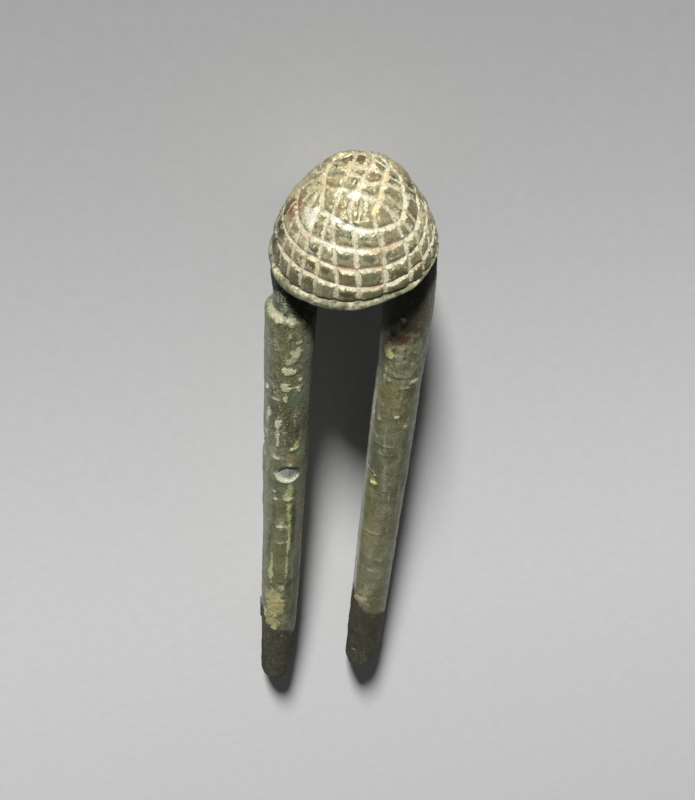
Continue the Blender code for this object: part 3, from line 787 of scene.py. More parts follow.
# %% Places on the legs
LEG_R = 2.0                     # the legs' usual radius, to turn angles into mm
PIT_SIDE, PIT_DOWN, PIT_ANGLE, PIT_R, PIT_DEPTH = -1, 27.75, -3, 1.15, 0.26


def on_leg(points, side):
    """For each point: how far down the leg it is, its angle round the axis, and how far from the axis."""
    root, tip = [np.array(end) for end in leg_ends(side)]
    axis = (tip - root) / np.linalg.norm(tip - root)
    down = (points - root) @ axis
    off = points - root - down[:, None] * axis
    return down, np.degrees(np.arctan2(off[:, 0], -off[:, 1])), np.linalg.norm(off, axis=1)


def leg_skin(points, under, side):
    """Which points are on this leg, and how far down and how far round it they are."""
    down, around, away = on_leg(points, side)
    chosen = (under > 0) & (away < 3.2) & (down > 0.3)
    return chosen, down[chosen], around[chosen]


def seeded_marks(side):
    """The marks on one leg, each with a seed of its own."""
    first = 100 if side < 0 else 100 + 2 * len(LEG_MARKS[-1])
    return [(first + 2 * number, mark) for number, mark in enumerate(LEG_MARKS[side])]


def mark_mask(points, down, around, mark, seed, core=0.75):
    """One inside the mark, nought outside, with a ragged edge that starts at this share of its size."""
    middle, angle, half_long, half_wide = mark[:4]
    across = way_round(around, angle) * LEG_R
    reach = np.hypot((down - middle) / half_long, across / half_wide)
    near = reach < 2.2
    mask = np.zeros(len(points))
    rough = 0.42 * soft_noise(points[near], 0.55, seed) + 0.30 * soft_noise(points[near], 0.24, seed + 1)
    mask[near] = 1 - ramp(core, 1.30, reach[near] + rough)
    return mask


def pit_reach(points, down, around):
    """The way from the pit's middle as a share of its size, and how far across and how low that is, mm."""
    across = way_round(around, PIT_ANGLE) * LEG_R
    reach = np.hypot(down - PIT_DOWN, across) / PIT_R + 0.10 * soft_noise(points, 0.6, 81)
    return reach, across, down - PIT_DOWN - 0.5 * across


print("the pit's middle is at, mm down:", PIT_DOWN)

# %% [markdown]
# ## Cutting and roughening the skin
#
# Now every point of the skin moves in or out along its own normal. On the dome the cut lines go in and the
# cells between swell a little, like worn cushions. On the legs, slow swells come from the casting, flats
# run along the length from filing, crust stands proud and the pit goes in. The hidden underside is only
# rough.

# %% Where a point is on the pin
def where_on_pin(points):
    """Height above the tilted rim, distance from its axis, and shares for the dome and for what's below."""
    rim_axes = np.array(head_turn.to_3x3() @ rim_up)
    local = (points - np.array(head_turn @ Vector((*RIM_SHIFT, RIM_RAISE)))) @ rim_axes
    height = local[:, 2] - rim_hump(local[:, 0], local[:, 1])
    edge = np.hypot(local[:, 0], local[:, 1])
    dome_share = ramp(-0.26, -0.08, height)
    under = 1 - ramp(-0.17, -0.05, height - rim_bottom(local[:, 0], local[:, 1]))
    return height, edge, dome_share, under


def rim_share(height, edge, under):
    """How much each point belongs to the rim's outer band."""
    return (1 - under) * ramp(0.05, -0.15, height) * ramp(6.3, 6.7, edge)


def read_rows(items, what):
    """Three numbers for each vertex or face of a mesh, as rows."""
    flat = np.empty(len(items) * 3)
    items.foreach_get(what, flat)
    return flat.reshape(-1, 3)


shares = where_on_pin(read_rows(pin.data.vertices, "co"))
print("points on the dome and below the rim:", int((shares[2] > 0).sum()), int((shares[3] > 0).sum()))

# %% Relief of a leg
FLATS = 9                       # filed flats round a leg


def leg_relief(points, down, around, side):
    """How far the points of one leg move, mm."""
    turned = np.radians(around)
    along = np.column_stack([np.sin(turned) * LEG_R, np.cos(turned) * LEG_R, down * 0.16])
    facets = 0.030 * np.abs(np.sin(turned * FLATS / 2 + 0.6 * soft_noise(along, 2.0, 71))) - 0.02
    # slow swells, fine roughness, filed flats and scratches along the leg, then groups of small pocks
    amount = 0.055 * soft_noise(points, 4.5, 51 + side) + 0.030 * grain(points, 1.3, 61 + side)
    amount += 0.016 * soft_noise(points, 0.45, 65) + facets + 0.022 * soft_noise(along, 0.5, 73 + side)
    pocks = ramp(0.42, 0.75, soft_noise(points, 0.75, 75 + side))
    amount -= 0.06 * pocks * ramp(-0.1, 0.5, soft_noise(points, 5.0, 77))
    for seed, mark in seeded_marks(side):
        if mark[4]:
            amount += mark[4] * mark_mask(points, down, around, mark, seed)
    if side == PIT_SIDE:
        reach = pit_reach(points, down, around)[0]
        amount -= PIT_DEPTH * (1 - ramp(0.70, 1.02, reach)) - 0.05 * ridge(1.12, 0.12, reach)
    return amount * ramp(0.4, 1.6, down)


leg_spot = np.array([[LEG_X[1], -LEG_R, -20.0]])
down, around, away = on_leg(leg_spot, 1)
print("relief at a spot on the right leg, mm:", leg_relief(leg_spot, down, around, 1).round(3))

# %% Relief of the dome
CUSHION = 0.11                  # how much a cell swells, mm


def dome_relief(points):
    """How far the points of the dome move, mm."""
    lattice = read_lattice(points)
    arc, nearest, aside = lattice["arc"], lattice["nearest"], np.abs(lattice["around"])
    # the cells and their lines, wear and a low swell at both sides, fine roughness, then small dents
    rise = CUSHION * (1 - ridge(0, 0.32, nearest)) - CUSHION / 2
    rise += 0.045 * cell_random(lattice["cell"], 7) - 1.35 * lattice["depth"]
    rise -= 0.07 + 0.07 * ramp(2.0, 4.0, arc) - 0.14 * ramp(7.5, 11.0, arc)
    rise += 0.15 * ridge(3.3, 1.4, arc) * ridge(102, 34, aside)
    rise += 0.065 * grain(points, 1.0, 15) + 0.024 * soft_noise(points, 0.34, 17)
    rise += 0.012 * soft_noise(points, 0.19, 19)
    rise -= 0.05 * ramp(0.30, 0.75, soft_noise(points, 0.6, 13)) * ramp(0.1, 0.3, nearest)
    return rise * (1 + 0.7 * ramp(95, 130, aside) * ramp(1.2, 2.5, arc))


print("relief at the spot on the dome, mm:", dome_relief(dome_spot).round(3))

# %% Move the points
def move_points(points, normals):
    """The points after each has moved along its normal."""
    height, edge, dome_share, under = where_on_pin(points)
    amount = 0.022 * grain(points, 0.9, 1) + 0.012 * grain(points, 0.3, 5, 2)
    amount += 0.030 * soft_noise(points, 1.7, 3) * (1 - dome_share)
    head = dome_share > 0
    amount[head] += dome_share[head] * dome_relief(points[head])
    rim_waves = 0.10 * soft_noise(points, 2.3, 91) + 0.05 * grain(points, 0.8, 93)
    amount += rim_share(height, edge, under) * rim_waves
    amount -= 0.26 * ridge(-0.02, 0.14, height) * ramp(6.0, 6.6, edge)      # the groove above the rim
    for side in (-1, 1):
        chosen, down, around = leg_skin(points, under, side)
        amount[chosen] += under[chosen] * leg_relief(points[chosen], down, around, side)
    return points + normals * amount[:, None]


def write_points(piece, points):
    piece.data.vertices.foreach_set("co", points.ravel())
    piece.data.update()


before = read_rows(pin.data.vertices, "co")
moved = move_points(before, read_rows(pin.data.vertices, "normal"))
write_points(pin, moved)
print("furthest move, mm:", round(float(np.linalg.norm(moved - before, axis=1).max()), 2))

# %% [markdown]
# ## Thinning
#
# The lattice and the rim need small faces, but the legs and the underside are smooth enough for much larger
# ones. Each part is thinned by its own share, and the mesh then goes to triangles, so that it's drawn the
# same way everywhere.

# %% Thin the skin
HEAD_KEEP, LOW_KEEP = 0.635, 0.112      # the shares of the faces that stay


def thin_faces(low, ratio):
    """Thins the faces below the rim, or the others, to this share of their number."""
    start_fresh()
    pin.select_set(True)
    bpy.context.view_layer.objects.active = pin
    bpy.ops.object.mode_set(mode="EDIT")
    bpy.ops.mesh.select_mode(type="FACE")
    bpy.ops.mesh.select_all(action="DESELECT")
    bpy.ops.object.mode_set(mode="OBJECT")
    under = where_on_pin(read_rows(pin.data.polygons, "center"))[3]
    pin.data.polygons.foreach_set("select", (under > 0.5) == low)
    bpy.ops.object.mode_set(mode="EDIT")
    bpy.ops.mesh.decimate(ratio=ratio)
    bpy.ops.object.mode_set(mode="OBJECT")


thin_faces(True, LOW_KEEP)
thin_faces(False, HEAD_KEEP)
bpy.ops.object.mode_set(mode="EDIT")
bpy.ops.mesh.select_all(action="SELECT")
bpy.ops.mesh.quads_convert_to_tris()
bpy.ops.object.mode_set(mode="OBJECT")
print("triangles:", len(pin.data.polygons))

# %% [markdown]
# ## Where the colours lie
#
# The dome was handled and cleaned most: its cells are worn to a dull tan, some greener, some browner, and
# the cut lines are packed with pale lime, stained pink in places. The legs are olive and grey with cream
# crust, speckled near the head and smoother below. Under the rim the legs are painted dark, as painted shade
# of the dome with some grime; pale painted reflections of the floor run down their flanks, and both tips are
# dark. These are real places on the pin, so each is painted onto the mesh's points by where it is, over a
# base that the material makes.

# %% Marks on the dome
LIT_DOME, LIT_RIM, LIT_LEGS = 0.84, 1.15, 1.36      # from the colours as seen to the metal's own
# in plan from above: x, y, half width, half length, colour, strength
CROWN_MARKS = (
    (-2.62, -2.86, 0.62, 0.75, "#b9b088", 0.9), (-2.35, -2.6, 0.3, 0.35, "#d8cda2", 0.8),
    (-1.45, -3.5, 0.64, 0.52, "#a2966c", 0.9), (-1, -3.45, 0.26, 0.22, "#a88a62", 0.7),
    (-1.75, -3.2, 0.25, 0.3, "#d8c890", 0.6), (0.2, -3.75, 0.62, 0.45, "#b9ad86", 0.85),
    (-0.35, -3.5, 0.22, 0.35, "#c9a878", 0.6), (0.1, -3.95, 0.22, 0.2, "#dcd2aa", 0.7),
    (1.8, -3.62, 0.55, 0.38, "#a89873", 0.8), (2.8, -3.35, 0.75, 0.3, "#8f805e", 0.8),
    (0.47, -2.56, 0.42, 0.36, "#9a9070", 0.85), (-0.76, -1.97, 0.38, 0.32, "#8a8060", 0.85),
    (0.55, -1.5, 0.5, 0.45, "#ab8d68", 0.8), (-0.45, -1.4, 0.48, 0.33, "#a0916c", 0.85),
    (-1.42, 0.25, 0.8, 0.7, "#655b3b", 0.92), (-0.45, -0.12, 0.45, 0.62, "#625837", 0.92),
    (1.2, -0.38, 0.8, 0.36, "#85795a", 0.85), (2.42, -0.88, 0.52, 0.36, "#716b4a", 0.9),
    (-2.45, -1.2, 0.48, 0.55, "#aaa28f", 0.85), (-2.55, -0.25, 0.35, 0.22, "#6a5f45", 0.85),
    (-1.62, -1.9, 0.36, 0.8, "#dad2a2", 0.75), (-2.64, -1.68, 0.3, 0.2, "#b89a70", 0.7),
    (-1.55, 0, 0.3, 0.3, "#b59a74", 0.7), (0.35, -0.55, 0.35, 0.3, "#ad8f68", 0.8),
    (1, -1.3, 0.4, 0.3, "#8f7850", 0.8), (2.4, -1.95, 0.6, 0.3, "#a69977", 0.8),
    (3.75, 0.2, 0.42, 0.5, "#716d57", 0.85), (4, -1.7, 0.5, 0.35, "#8c8263", 0.8),
    (4, -2.6, 0.5, 0.28, "#877c5d", 0.8), (3.1, -2.7, 0.5, 0.22, "#9a8b68", 0.7),
    (5, -1.3, 0.5, 0.4, "#7a7256", 0.8), (4.3, -0.2, 0.5, 0.4, "#6f6a52", 0.8),
    (-3.05, -3.8, 0.22, 0.2, "#8a9468", 0.85), (-3.45, -4, 0.2, 0.28, "#4a4432", 0.9),
    (2.3, -4.3, 0.55, 0.42, "#8a8a68", 0.85), (2.45, -4.25, 0.25, 0.2, "#c9b47c", 0.7),
    (-1.16, -5, 0.72, 0.4, "#8d9078", 0.85), (0.45, -5.1, 0.62, 0.4, "#8a8e72", 0.85),
    (-0.9, -5.9, 0.85, 0.45, "#75775c", 0.85), (1.1, -5.85, 0.85, 0.45, "#77785e", 0.85))
# the same for thick pale crust, and for painted highlights: the white patch at the crown's front and the
# three white marks along the crown's front bound
CROWN_CRUST_AND_HIGHLIGHTS = (
    (-0.6, -2.92, 0.62, 0.5, "#fbf3de", 1), (-1.78, -2.4, 0.55, 0.22, "#f4ead0", 1),
    (-0.1, -2.35, 0.35, 0.3, "#efe2c4", 0.9), (-1.75, -4.27, 0.65, 0.24, "#f7f2e2", 1),
    (-0.85, -4.64, 0.6, 0.24, "#fbf8ec", 1), (0.2, -4.82, 0.75, 0.24, "#f7f3e2", 1),
    (1.02, -3.68, 0.34, 0.3, "#e6d898", 0.95), (-1.25, -0.6, 0.4, 0.4, "#d8c49c", 0.7),
    (0.3, -0.25, 0.45, 0.25, "#d4be94", 0.8), (1.65, -1.3, 0.36, 0.8, "#e0cba0", 1),
    (1.5, -2.6, 0.38, 0.8, "#e3cfa3", 1), (-3.6, -3.1, 0.35, 0.4, "#eee8d0", 0.9),
    (-4.3, -3, 0.3, 0.35, "#e6e0c8", 0.8), (-3.9, -3.75, 0.2, 0.5, "#e2dcc4", 0.85))
# round the dome: angle, distance from the apex, half width, half length, colour, strength
SIDE_MARKS = (
    (28, 8.58, 0.8, 0.5, "#84866a", 0.7), (-5, 10.29, 0.8, 0.55, "#80714f", 0.85),
    (12.5, 10.2, 0.9, 0.6, "#7d8066", 0.75), (33, 10.18, 0.85, 0.5, "#77704c", 0.8),
    (-32, 10.3, 0.6, 0.4, "#665c42", 0.85), (-20, 10.09, 0.55, 0.45, "#5f553c", 0.85),
    (-46, 10.45, 0.5, 0.45, "#ab9468", 0.85), (-34, 8.9, 0.5, 0.4, "#5a5f48", 0.85),
    (-40.5, 8.2, 0.28, 0.25, "#d8d0b4", 0.9), (-3, 11.9, 0.7, 0.25, "#5c523c", 0.85),
    (14, 11.76, 0.8, 0.35, "#7c7a54", 0.8), (-32.5, 12, 0.7, 0.3, "#7b784f", 0.8),
    (-45.5, 12, 0.5, 0.3, "#7f7a52", 0.8), (30.5, 11.23, 0.8, 0.4, "#938866", 0.8),
    (50.5, 11.08, 0.7, 0.4, "#6a6448", 0.85), (52, 8.88, 0.6, 0.55, "#525640", 0.85),
    (-76, 10.3, 0.9, 0.6, "#40392a", 0.9), (-73, 7.7, 1.1, 1.1, "#a0704c", 0.8),
    (-82, 8.4, 0.8, 0.75, "#6b4a34", 0.9), (-86, 9.7, 0.8, 0.6, "#453a2a", 0.85),
    (13, 7.8, 0.16, 0.14, "#c99a4c", 0.9), (-88, 9.1, 0.8, 0.6, "#4c4634", 0.7),
    (-60, 8.3, 0.7, 0.6, "#8a7e5c", 0.7), (66, 10.68, 0.8, 0.5, "#8a8260", 0.6),
    (72, 8.48, 0.7, 0.6, "#a59c78", 0.6), (-77, 12.2, 1, 1, "#5d5638", 0.85),
    (-66, 12.6, 0.7, 0.6, "#6b6543", 0.6))
# the same for stained lime
SIDE_CRUST = (
    (-6, 9.6, 1.1, 0.22, "#c8a382", 0.75), (13, 11.1, 1.1, 0.24, "#c9aa8a", 0.7),
    (11, 7.9, 0.5, 0.22, "#d8b276", 0.8), (20, 8, 0.7, 0.3, "#cfae88", 0.7),
    (32, 7.7, 0.8, 0.25, "#c9ab8c", 0.6), (-43, 8.35, 0.55, 0.25, "#cfb298", 0.85),
    (-66, 7.2, 0.6, 0.5, "#a88062", 0.6), (20, 9.3, 0.5, 0.3, "#c49c80", 0.7),
    (-12, 7.9, 2.2, 0.24, "#f6f0dc", 0.8), (-49, 6.9, 0.9, 0.6, "#efe9d6", 0.8),
    (4, 8, 0.8, 0.2, "#f0ead2", 0.7))
# speckled with lime: angle round the dome, distance from the apex, half width, half length, strength
SPECKLED = (
    (-48, 7.3, 2.4, 1.6, 0.5), (-88, 5, 2.4, 1.8, 0.48), (60, 6.5, 3.2, 2.6, 0.38),
    (0, 1.2, 1.5, 1.3, 0.3), (-44, 10.2, 3.5, 1.8, 0.4), (20, 9.5, 4, 2, 0.3), (180, 7, 9, 6, 0.28),
    (85, 9.5, 3, 2.5, 0.34), (-6, 3.6, 2.6, 1.4, 0.36), (-5, 6.9, 2.6, 1, 0.36), (60, 4, 1.8, 1.2, 0.34))


tables = (CROWN_MARKS, CROWN_CRUST_AND_HIGHLIGHTS, SIDE_MARKS, SIDE_CRUST, SPECKLED)
print("marks on the dome:", sum(len(table) for table in tables))

# %% [markdown]
# ## Coats of colour
#
# Colours go on like thin coats of paint: each hides what lies below it by its own share. There are two
# stacks, one for stains in the metal's skin and one for the lime that stands on it, because the material
# breaks the lime up into crumbs.

# %% Coats
def read_seen(hex_colour, lit=LIT_DOME):
    return np.minimum(np.array(linear(hex_colour)[:3]) * lit, 0.85)


def rim_seen(hex_colour):
    return read_seen(hex_colour, LIT_RIM)


def leg_seen(hex_colour):
    return read_seen(hex_colour, LIT_LEGS)


class Paint:
    """Colours on points, laid over each other."""

    def __init__(self, count):
        self.colour = np.zeros((count, 3))
        self.cover = np.zeros(count)

    def lay(self, colour, mask, chosen=slice(None)):
        old = self.cover[chosen] * (1 - mask)
        total = mask + old
        share = (mask / np.maximum(total, 1e-6))[:, None]
        self.colour[chosen] = np.asarray(colour) * share + self.colour[chosen] * (1 - share)
        self.cover[chosen] = total


def blend(first, second, share):
    return np.asarray(first) * (1 - share[:, None]) + np.asarray(second) * share[:, None]


points = read_rows(pin.data.vertices, "co")
height, edge, dome_share, under = where_on_pin(points)
paint, crust = Paint(len(points)), Paint(len(points))
polish = np.zeros(len(points))
crumbly, dulled = np.ones(len(points)), np.zeros(len(points))
print("points to paint:", len(points))

# %% [markdown]
# ## The cells
#
# The dome's own colour is paler toward the crown, where hands rubbed it most. Each cell differs a little
# from its neighbours, and finer noise varies the colour inside a cell. The shoulders at both sides are
# duller.

# %% The colour of the cells
head = dome_share > 0
spots = points[head]
share = dome_share[head]
lattice = read_lattice(spots)
arc, around = lattice["arc"], lattice["around"]
climb = 1 - ramp(6.5, 11.5, arc)
tint = 0.55 * cell_random(lattice["cell"], 3) + 0.75 * grain(spots, 0.9, 201)
tint += 0.35 * soft_noise(spots, 0.28, 203)
cells = blend(read_seen("#a19b77"), read_seen("#c3b88c"), climb)
cells = blend(cells, read_seen("#706947"), ramp(0.0, -0.9, tint) * 0.9)
cells = blend(cells, read_seen("#d9cea4"), ramp(0.15, 1.1, tint) * (0.35 + 0.5 * climb))
shoulder = ramp(40, 65, np.abs(around)) * ramp(3.2, 4.2, arc) * ramp(8.0, 6.5, arc)
cells = blend(cells, read_seen("#7f7a5a"), 0.55 * shoulder)
paint.lay(cells, share, head)
polish[head] = share
print("painted dome points:", int(head.sum()))

# %% [markdown]
# ## Stains and lime on the dome
#
# Stains go straight onto the cells. Lime fills the cut lines, paler or yellower from place to place and
# missing here and there. It is also sprinkled over some areas, heaped up in a few thick crusts, and stained
# brown or pink where it lies in the lines of the sides. A few white marks at the crown's front, laid with
# the thick crusts, are painted highlights.

# %% Stains on the dome
flat = lattice["flat"] + 0.10 * np.column_stack([soft_noise(spots, 0.5, seed) for seed in (211, 213)])


def crown_reach(x, y, wide, long):
    """The way from a mark on the crown, as a share of its size."""
    middle = np.array([x, y]) * arc_at(math.hypot(x, y)) / math.hypot(x, y)
    return np.hypot((flat[:, 0] - middle[0]) / wide, (flat[:, 1] - middle[1]) / long)


def side_reach(angle, low, wide, long):
    """The way from a mark on the dome's side, as a share of its size."""
    across = way_round(around, angle) * radius_at(low)
    return np.hypot(across / wide, (arc - low) / long)


def lay_marks(coat, marks, reach_from, core, end, ragged=0.0):
    """Lays marks that are full up to the core of their size and fade out at the end."""
    for *where, colour, strength in marks:
        mask = 1 - ramp(core, end, reach_from(*where) + ragged)
        coat.lay(read_seen(colour), strength * share * mask, head)


lay_marks(paint, CROWN_MARKS, crown_reach, 0.8, 1.15)
lay_marks(paint, SIDE_MARKS, side_reach, 0.7, 1.25, 0.2 * soft_noise(spots, 0.4, 215))
print("stains:", len(CROWN_MARKS) + len(SIDE_MARKS))

# %% Lime on the dome
patchy = 0.80 + 0.50 * grain(spots, 1.0, 221) - 0.25 * ramp(60, 120, np.abs(around))
patchy -= 0.35 * ridge(-74, 9, around) * ramp(6.0, 7.0, arc)
lime = blend(read_seen("#dcd6b8"), read_seen("#ccbd94"), ramp(-0.1, 0.6, grain(spots, 2.2, 225)))
lime = blend(lime, read_seen("#a59d78"), ramp(0.05, 0.6, grain(spots, 0.7, 227)))
left = ramp(32, 58, -around) * ramp(4.5, 6.5, arc)
lime = blend(lime, read_seen("#9c8a64"), 0.34 * left)
crust.lay(lime, share * np.clip(lattice["lime"] * patchy, 0, 1), head)
sprinkled = 0.8 + 0.5 * soft_noise(spots, 0.8, 229)
for *where, strength in SPECKLED:
    mask = 1 - ramp(0.5, 1.3, side_reach(*where))
    crust.lay(lime, share * strength * mask * sprinkled, head)
# thick crusts, with the painted highlights at the crown's front
lay_marks(crust, CROWN_CRUST_AND_HIGHLIGHTS, crown_reach, 0.55, 1.3)
rough = 0.2 * soft_noise(spots, 0.4, 217)
for *where, colour, strength in SIDE_CRUST:
    mask = 1 - ramp(0.5, 1.3, side_reach(*where) + rough)
    on_lime = np.minimum(crust.cover[head] * 1.3, 1)
    crust.lay(read_seen(colour), strength * share * mask * on_lime, head)
print("lime covers of the dome:", round(float(crust.cover[head].mean()), 2))

# %% [markdown]
# ## The rim
#
# The groove above the rim is painted dark. The rim itself is grey and dappled, pale where it was rubbed at
# both sides of the front, with a painted highlight along the middle of its band, painted shade along its
# lower edge, and dull at its far left.

# %% The colour of the rim
groove = ridge(0.01, 0.17, height) * ramp(6.0, 6.5, edge) * (0.9 + 0.3 * grain(points, 1.0, 231))
paint.lay(read_seen("#1f1b12"), np.clip(groove, 0, 1) * 0.95)
crust.cover *= 1 - 0.9 * np.clip(groove, 0, 1)
bead = rim_share(height, edge, under)
rim_tint = 0.75 * grain(points, 1.3, 233) + 0.45 * soft_noise(points, 0.3, 235)
rim_colour = blend(rim_seen("#6f6e56"), rim_seen("#b3af92"), ramp(-0.1, 0.45, rim_tint))
rim_colour = blend(rim_colour, rim_seen("#45432f"), ramp(-0.05, -0.45, rim_tint))
local = points @ head_axes
turned = np.degrees(np.arctan2(local[:, 0], -local[:, 1]))
# painted shade along the rim's lower edge, reaching higher at the far left
low_edge_shade = ramp(-0.75, -0.95, height + 0.10 * soft_noise(points, 0.8, 237) - 0.22 * ramp(50, 80, -turned))
rim_colour = blend(rim_colour, rim_seen("#343323"), 0.9 * low_edge_shade)
rubbed_and_highlit = 1.14 + 0.38 * (ramp(15, 45, -turned) * ramp(75, 58, -turned) + ramp(35, 55, turned))
rubbed_and_highlit -= 0.5 * ramp(70, 82, -turned) + 0.3 * ramp(84, 92, -turned)
# a painted highlight along the middle of the rim's band
rubbed_and_highlit += 0.22 * ridge(-0.55, 0.2, height)
paint.lay(rim_colour * rubbed_and_highlit[:, None], bead * 0.85)
dulled = np.maximum(dulled, 0.5 * bead)
print("points on the rim:", int((bead > 0).sum()))

# %% [markdown]
# ## The legs
#
# Both tips are brown from a wandering line downward, and the necks are painted dark: painted shade of the
# dome, with some grime. The listed marks go on next: the raised ones as crust, the others as stains, and
# near the top of the left leg as painted shade. Pale painted reflections of the floor run down the flanks,
# one on the left leg and two on the right. The upper parts are rough and crumbly, the lower ones smoother.

# %% Tips, necks and flanks
BROWN_FROM = {-1: 55.4, 1: 53.8}                # mm down, for the left leg and the right
CRUST_FROM = 0.03                               # a mark that stands higher than this is crust
# painted reflections of the bright floor on the flanks: angle, width, where it is at its full strength in mm
# down, seed, colour, strength
RIGHT_FLANK_REFLECTION = (70, 6.5, 14, 247, "#b4b5a8", 0.65)
FLANK_REFLECTIONS = {-1: (RIGHT_FLANK_REFLECTION,), 1: (RIGHT_FLANK_REFLECTION, (-88, 12, 13, 249, "#cfcfbf", 0.92))}


def brown_tip(side, here, down, around):
    """How brown each point is: one at the tip, nought above the wandering line."""
    line = BROWN_FROM[side] - 2.6 * ramp(-20, -90, around) + 1.6 * ramp(0, 60, around)
    return ramp(-0.25, 0.35, down - line - 0.5 * grain(here, 1.2, 241))


def neck_grime_and_shade(side, here, down, around):
    """How much grime and painted shade of the dome lie on the neck."""
    if side < 0:
        end, strength = 6.6 + 0.062 * np.clip(around, -80, 95), ramp(-45, -15, around)
    else:
        end, strength = 6.4 - 0.055 * np.clip(around, -105, 60), 0.85
    return ramp(0.6, -0.6, down - end - 0.5 * grain(here, 1.5, 245)) * strength


def paint_pit(chosen, here, down, around):
    """A grey floor, pale crust along its lower side that also stands for the light that side catches, and
    painted shade along its upper side.
    """
    reach, across, low = pit_reach(here, down, around)
    paint.lay(leg_seen("#868a7e"), 0.9 * (1 - ramp(0.7, 1.0, reach)), chosen)
    crust.lay(leg_seen("#9ca292"), 0.60 * (1 - ramp(0.7, 1.1, reach)) * ramp(0.6, -0.4, across), chosen)
    # pale crust at the lower side, made bright also as painted light on the wall that faces the lamp
    crust.lay(leg_seen("#aeb09c"), 0.85 * ridge(0.98, 0.17, reach) * ramp(-0.9, 0.6, low), chosen)
    # painted shade along the pit's upper side
    paint.lay(leg_seen("#2e2c20"), 0.9 * ridge(0.95, 0.16, reach) * ramp(-0.2, -1.0, low), chosen)


print("stripes on the legs:", {side: len(reflections) for side, reflections in FLANK_REFLECTIONS.items()})

# %% The colours of the legs
for side in (-1, 1):
    chosen, down, around = leg_skin(points, under, side)
    here = points[chosen]
    brown = brown_tip(side, here, down, around)
    earth = blend(leg_seen("#343226"), leg_seen("#453f2d"), ramp(-0.2, 0.8, grain(here, 1.1, 243)))
    paint.lay(earth, 0.92 * brown, chosen)
    # painted shade of the dome on the necks, with some grime, dark down to a line that slants like the
    # shadow
    grime_and_shade = neck_grime_and_shade(side, here, down, around)
    paint.lay(leg_seen("#181711"), 0.88 * grime_and_shade, chosen)
    neck = ramp(5.2, 4.2, down) if side < 0 else 0.0
    dulled[chosen] = np.maximum(grime_and_shade, 0.8 * np.maximum(brown, neck))
    for seed, mark in seeded_marks(side):
        coat = crust if mark[4] > CRUST_FROM else paint
        coat.lay(leg_seen(mark[5]), mark[6] * mark_mask(here, down, around, mark, seed, 0.35), chosen)
    if side == PIT_SIDE:
        paint_pit(chosen, here, down, around)
    for angle, width, full, seed, colour, strength in FLANK_REFLECTIONS[side]:
        # pale painted reflections of the bright floor down the flanks, kept off the brown tips
        reflection = ridge(angle, width, around) * ramp(10, full, down) * (1 - brown)
        reflection = np.clip(reflection * (0.75 + 0.5 * grain(here, 1.4, seed)), 0, 1)
        paint.lay(leg_seen(colour), strength * reflection, chosen)
    crumbly[chosen] = (1 - 0.65 * ramp(20, 30, down)) * (1.0 if side < 0 else 0.55)
    print("leg", side, "brown part of the points:", round(float((brown > 0.5).mean()), 2))

# %% [markdown]
# ## Onto the mesh
#
# Each stack of coats becomes two attributes of the mesh, a colour and how much it covers. Three more tell
# the material where the metal is polished, where it crumbles and where its sheen is dulled: on the rim, the
# brown tips and the necks, under their grime and painted shade.

# %% Write the attributes
def write_attribute(piece, name, values):
    """Gives each point of the mesh a colour, or one number."""
    if values.ndim == 2:
        layer = piece.data.attributes.new(name, "FLOAT_COLOR", "POINT")
        layer.data.foreach_set("color", values.ravel())
    else:
        layer = piece.data.attributes.new(name, "FLOAT", "POINT")
        layer.data.foreach_set("value", values)


for name, coat, cover_name in (("paint", paint, "cover"), ("crust", crust, "crusted")):
    write_attribute(pin, name, np.column_stack([coat.colour, np.ones(len(points))]))
    write_attribute(pin, cover_name, coat.cover)
for name, values in (("polish", polish), ("crumbly", crumbly), ("dulled", dulled)):
    write_attribute(pin, name, values)
print("paint covers:", round(float(paint.cover.mean()), 2))

# %% [markdown]
# ## Aged bronze
#
# What the eye sees is not bare metal but its skin: olive and grey-green patina with a faint waxy sheen,
# browner in places, streaked along the legs, with specks of pale lime. Only the worn dome shows a little
# metal. All pattern sizes are given in millimetres and divided out to the metres of the object's own
# coordinates.

# %% Patches for the patina
metal = bpy.data.materials.new("patinated_bronze")
metal.use_nodes = True
tree = metal.node_tree
place = add_node(tree, "TexCoord").outputs["Object"]
streaky = add_node(tree, "VectorMath", {0: place, 1: (1.0, 0.14, 1.0)}, operation="MULTIPLY").outputs[0]
ATTRIBUTES = {"paint": "Color", "cover": "Fac", "crust": "Color", "crusted": "Fac", "polish": "Fac",
              "crumbly": "Fac", "dulled": "Fac"}
given = {name: add_node(tree, "Attribute", attribute_name=name).outputs[output]
         for name, output in ATTRIBUTES.items()}


def features(size, where=place, detail=4.0, rough=0.6):
    """The inputs of a noise whose features are about this many millimetres."""
    return {"Vector": where, "Scale": 1 / (size * MM), "Detail": detail, "Roughness": rough}


def patches(size, low, high, most=1.0, least=0.0, **kind):
    """Soft patches of about this size: least where the noise is low, most where it is high."""
    cloud = add_node(tree, "TexNoise", features(size, **kind)).outputs[0]
    return add_node(tree, "MapRange", {0: cloud, 1: low, 2: high, 3: least, 4: most},
                    interpolation_type="SMOOTHSTEP").outputs[0]


def solid(hex_colour):
    return [*leg_seen(hex_colour), 1.0]


print("the patina's first nodes:", len(tree.nodes))

# %% [markdown]
# ### The base
#
# Broad olive patches come first, then smaller and smaller ones, some drawn out along the legs. The finest
# dark and pale specks only show where the skin is crumbly.

# %% The base of the patina
# size in mm, which coordinates, where the noise starts and is full, strength, colour
PATCHES = ((1.3, place, 0.40, 0.66, 0.75, "#7c7e66"), (1.6, streaky, 0.50, 0.68, 0.80, "#43422c"),
           (0.55, streaky, 0.54, 0.70, 0.70, "#95957c"), (2.4, place, 0.56, 0.72, 0.55, "#6f643e"))
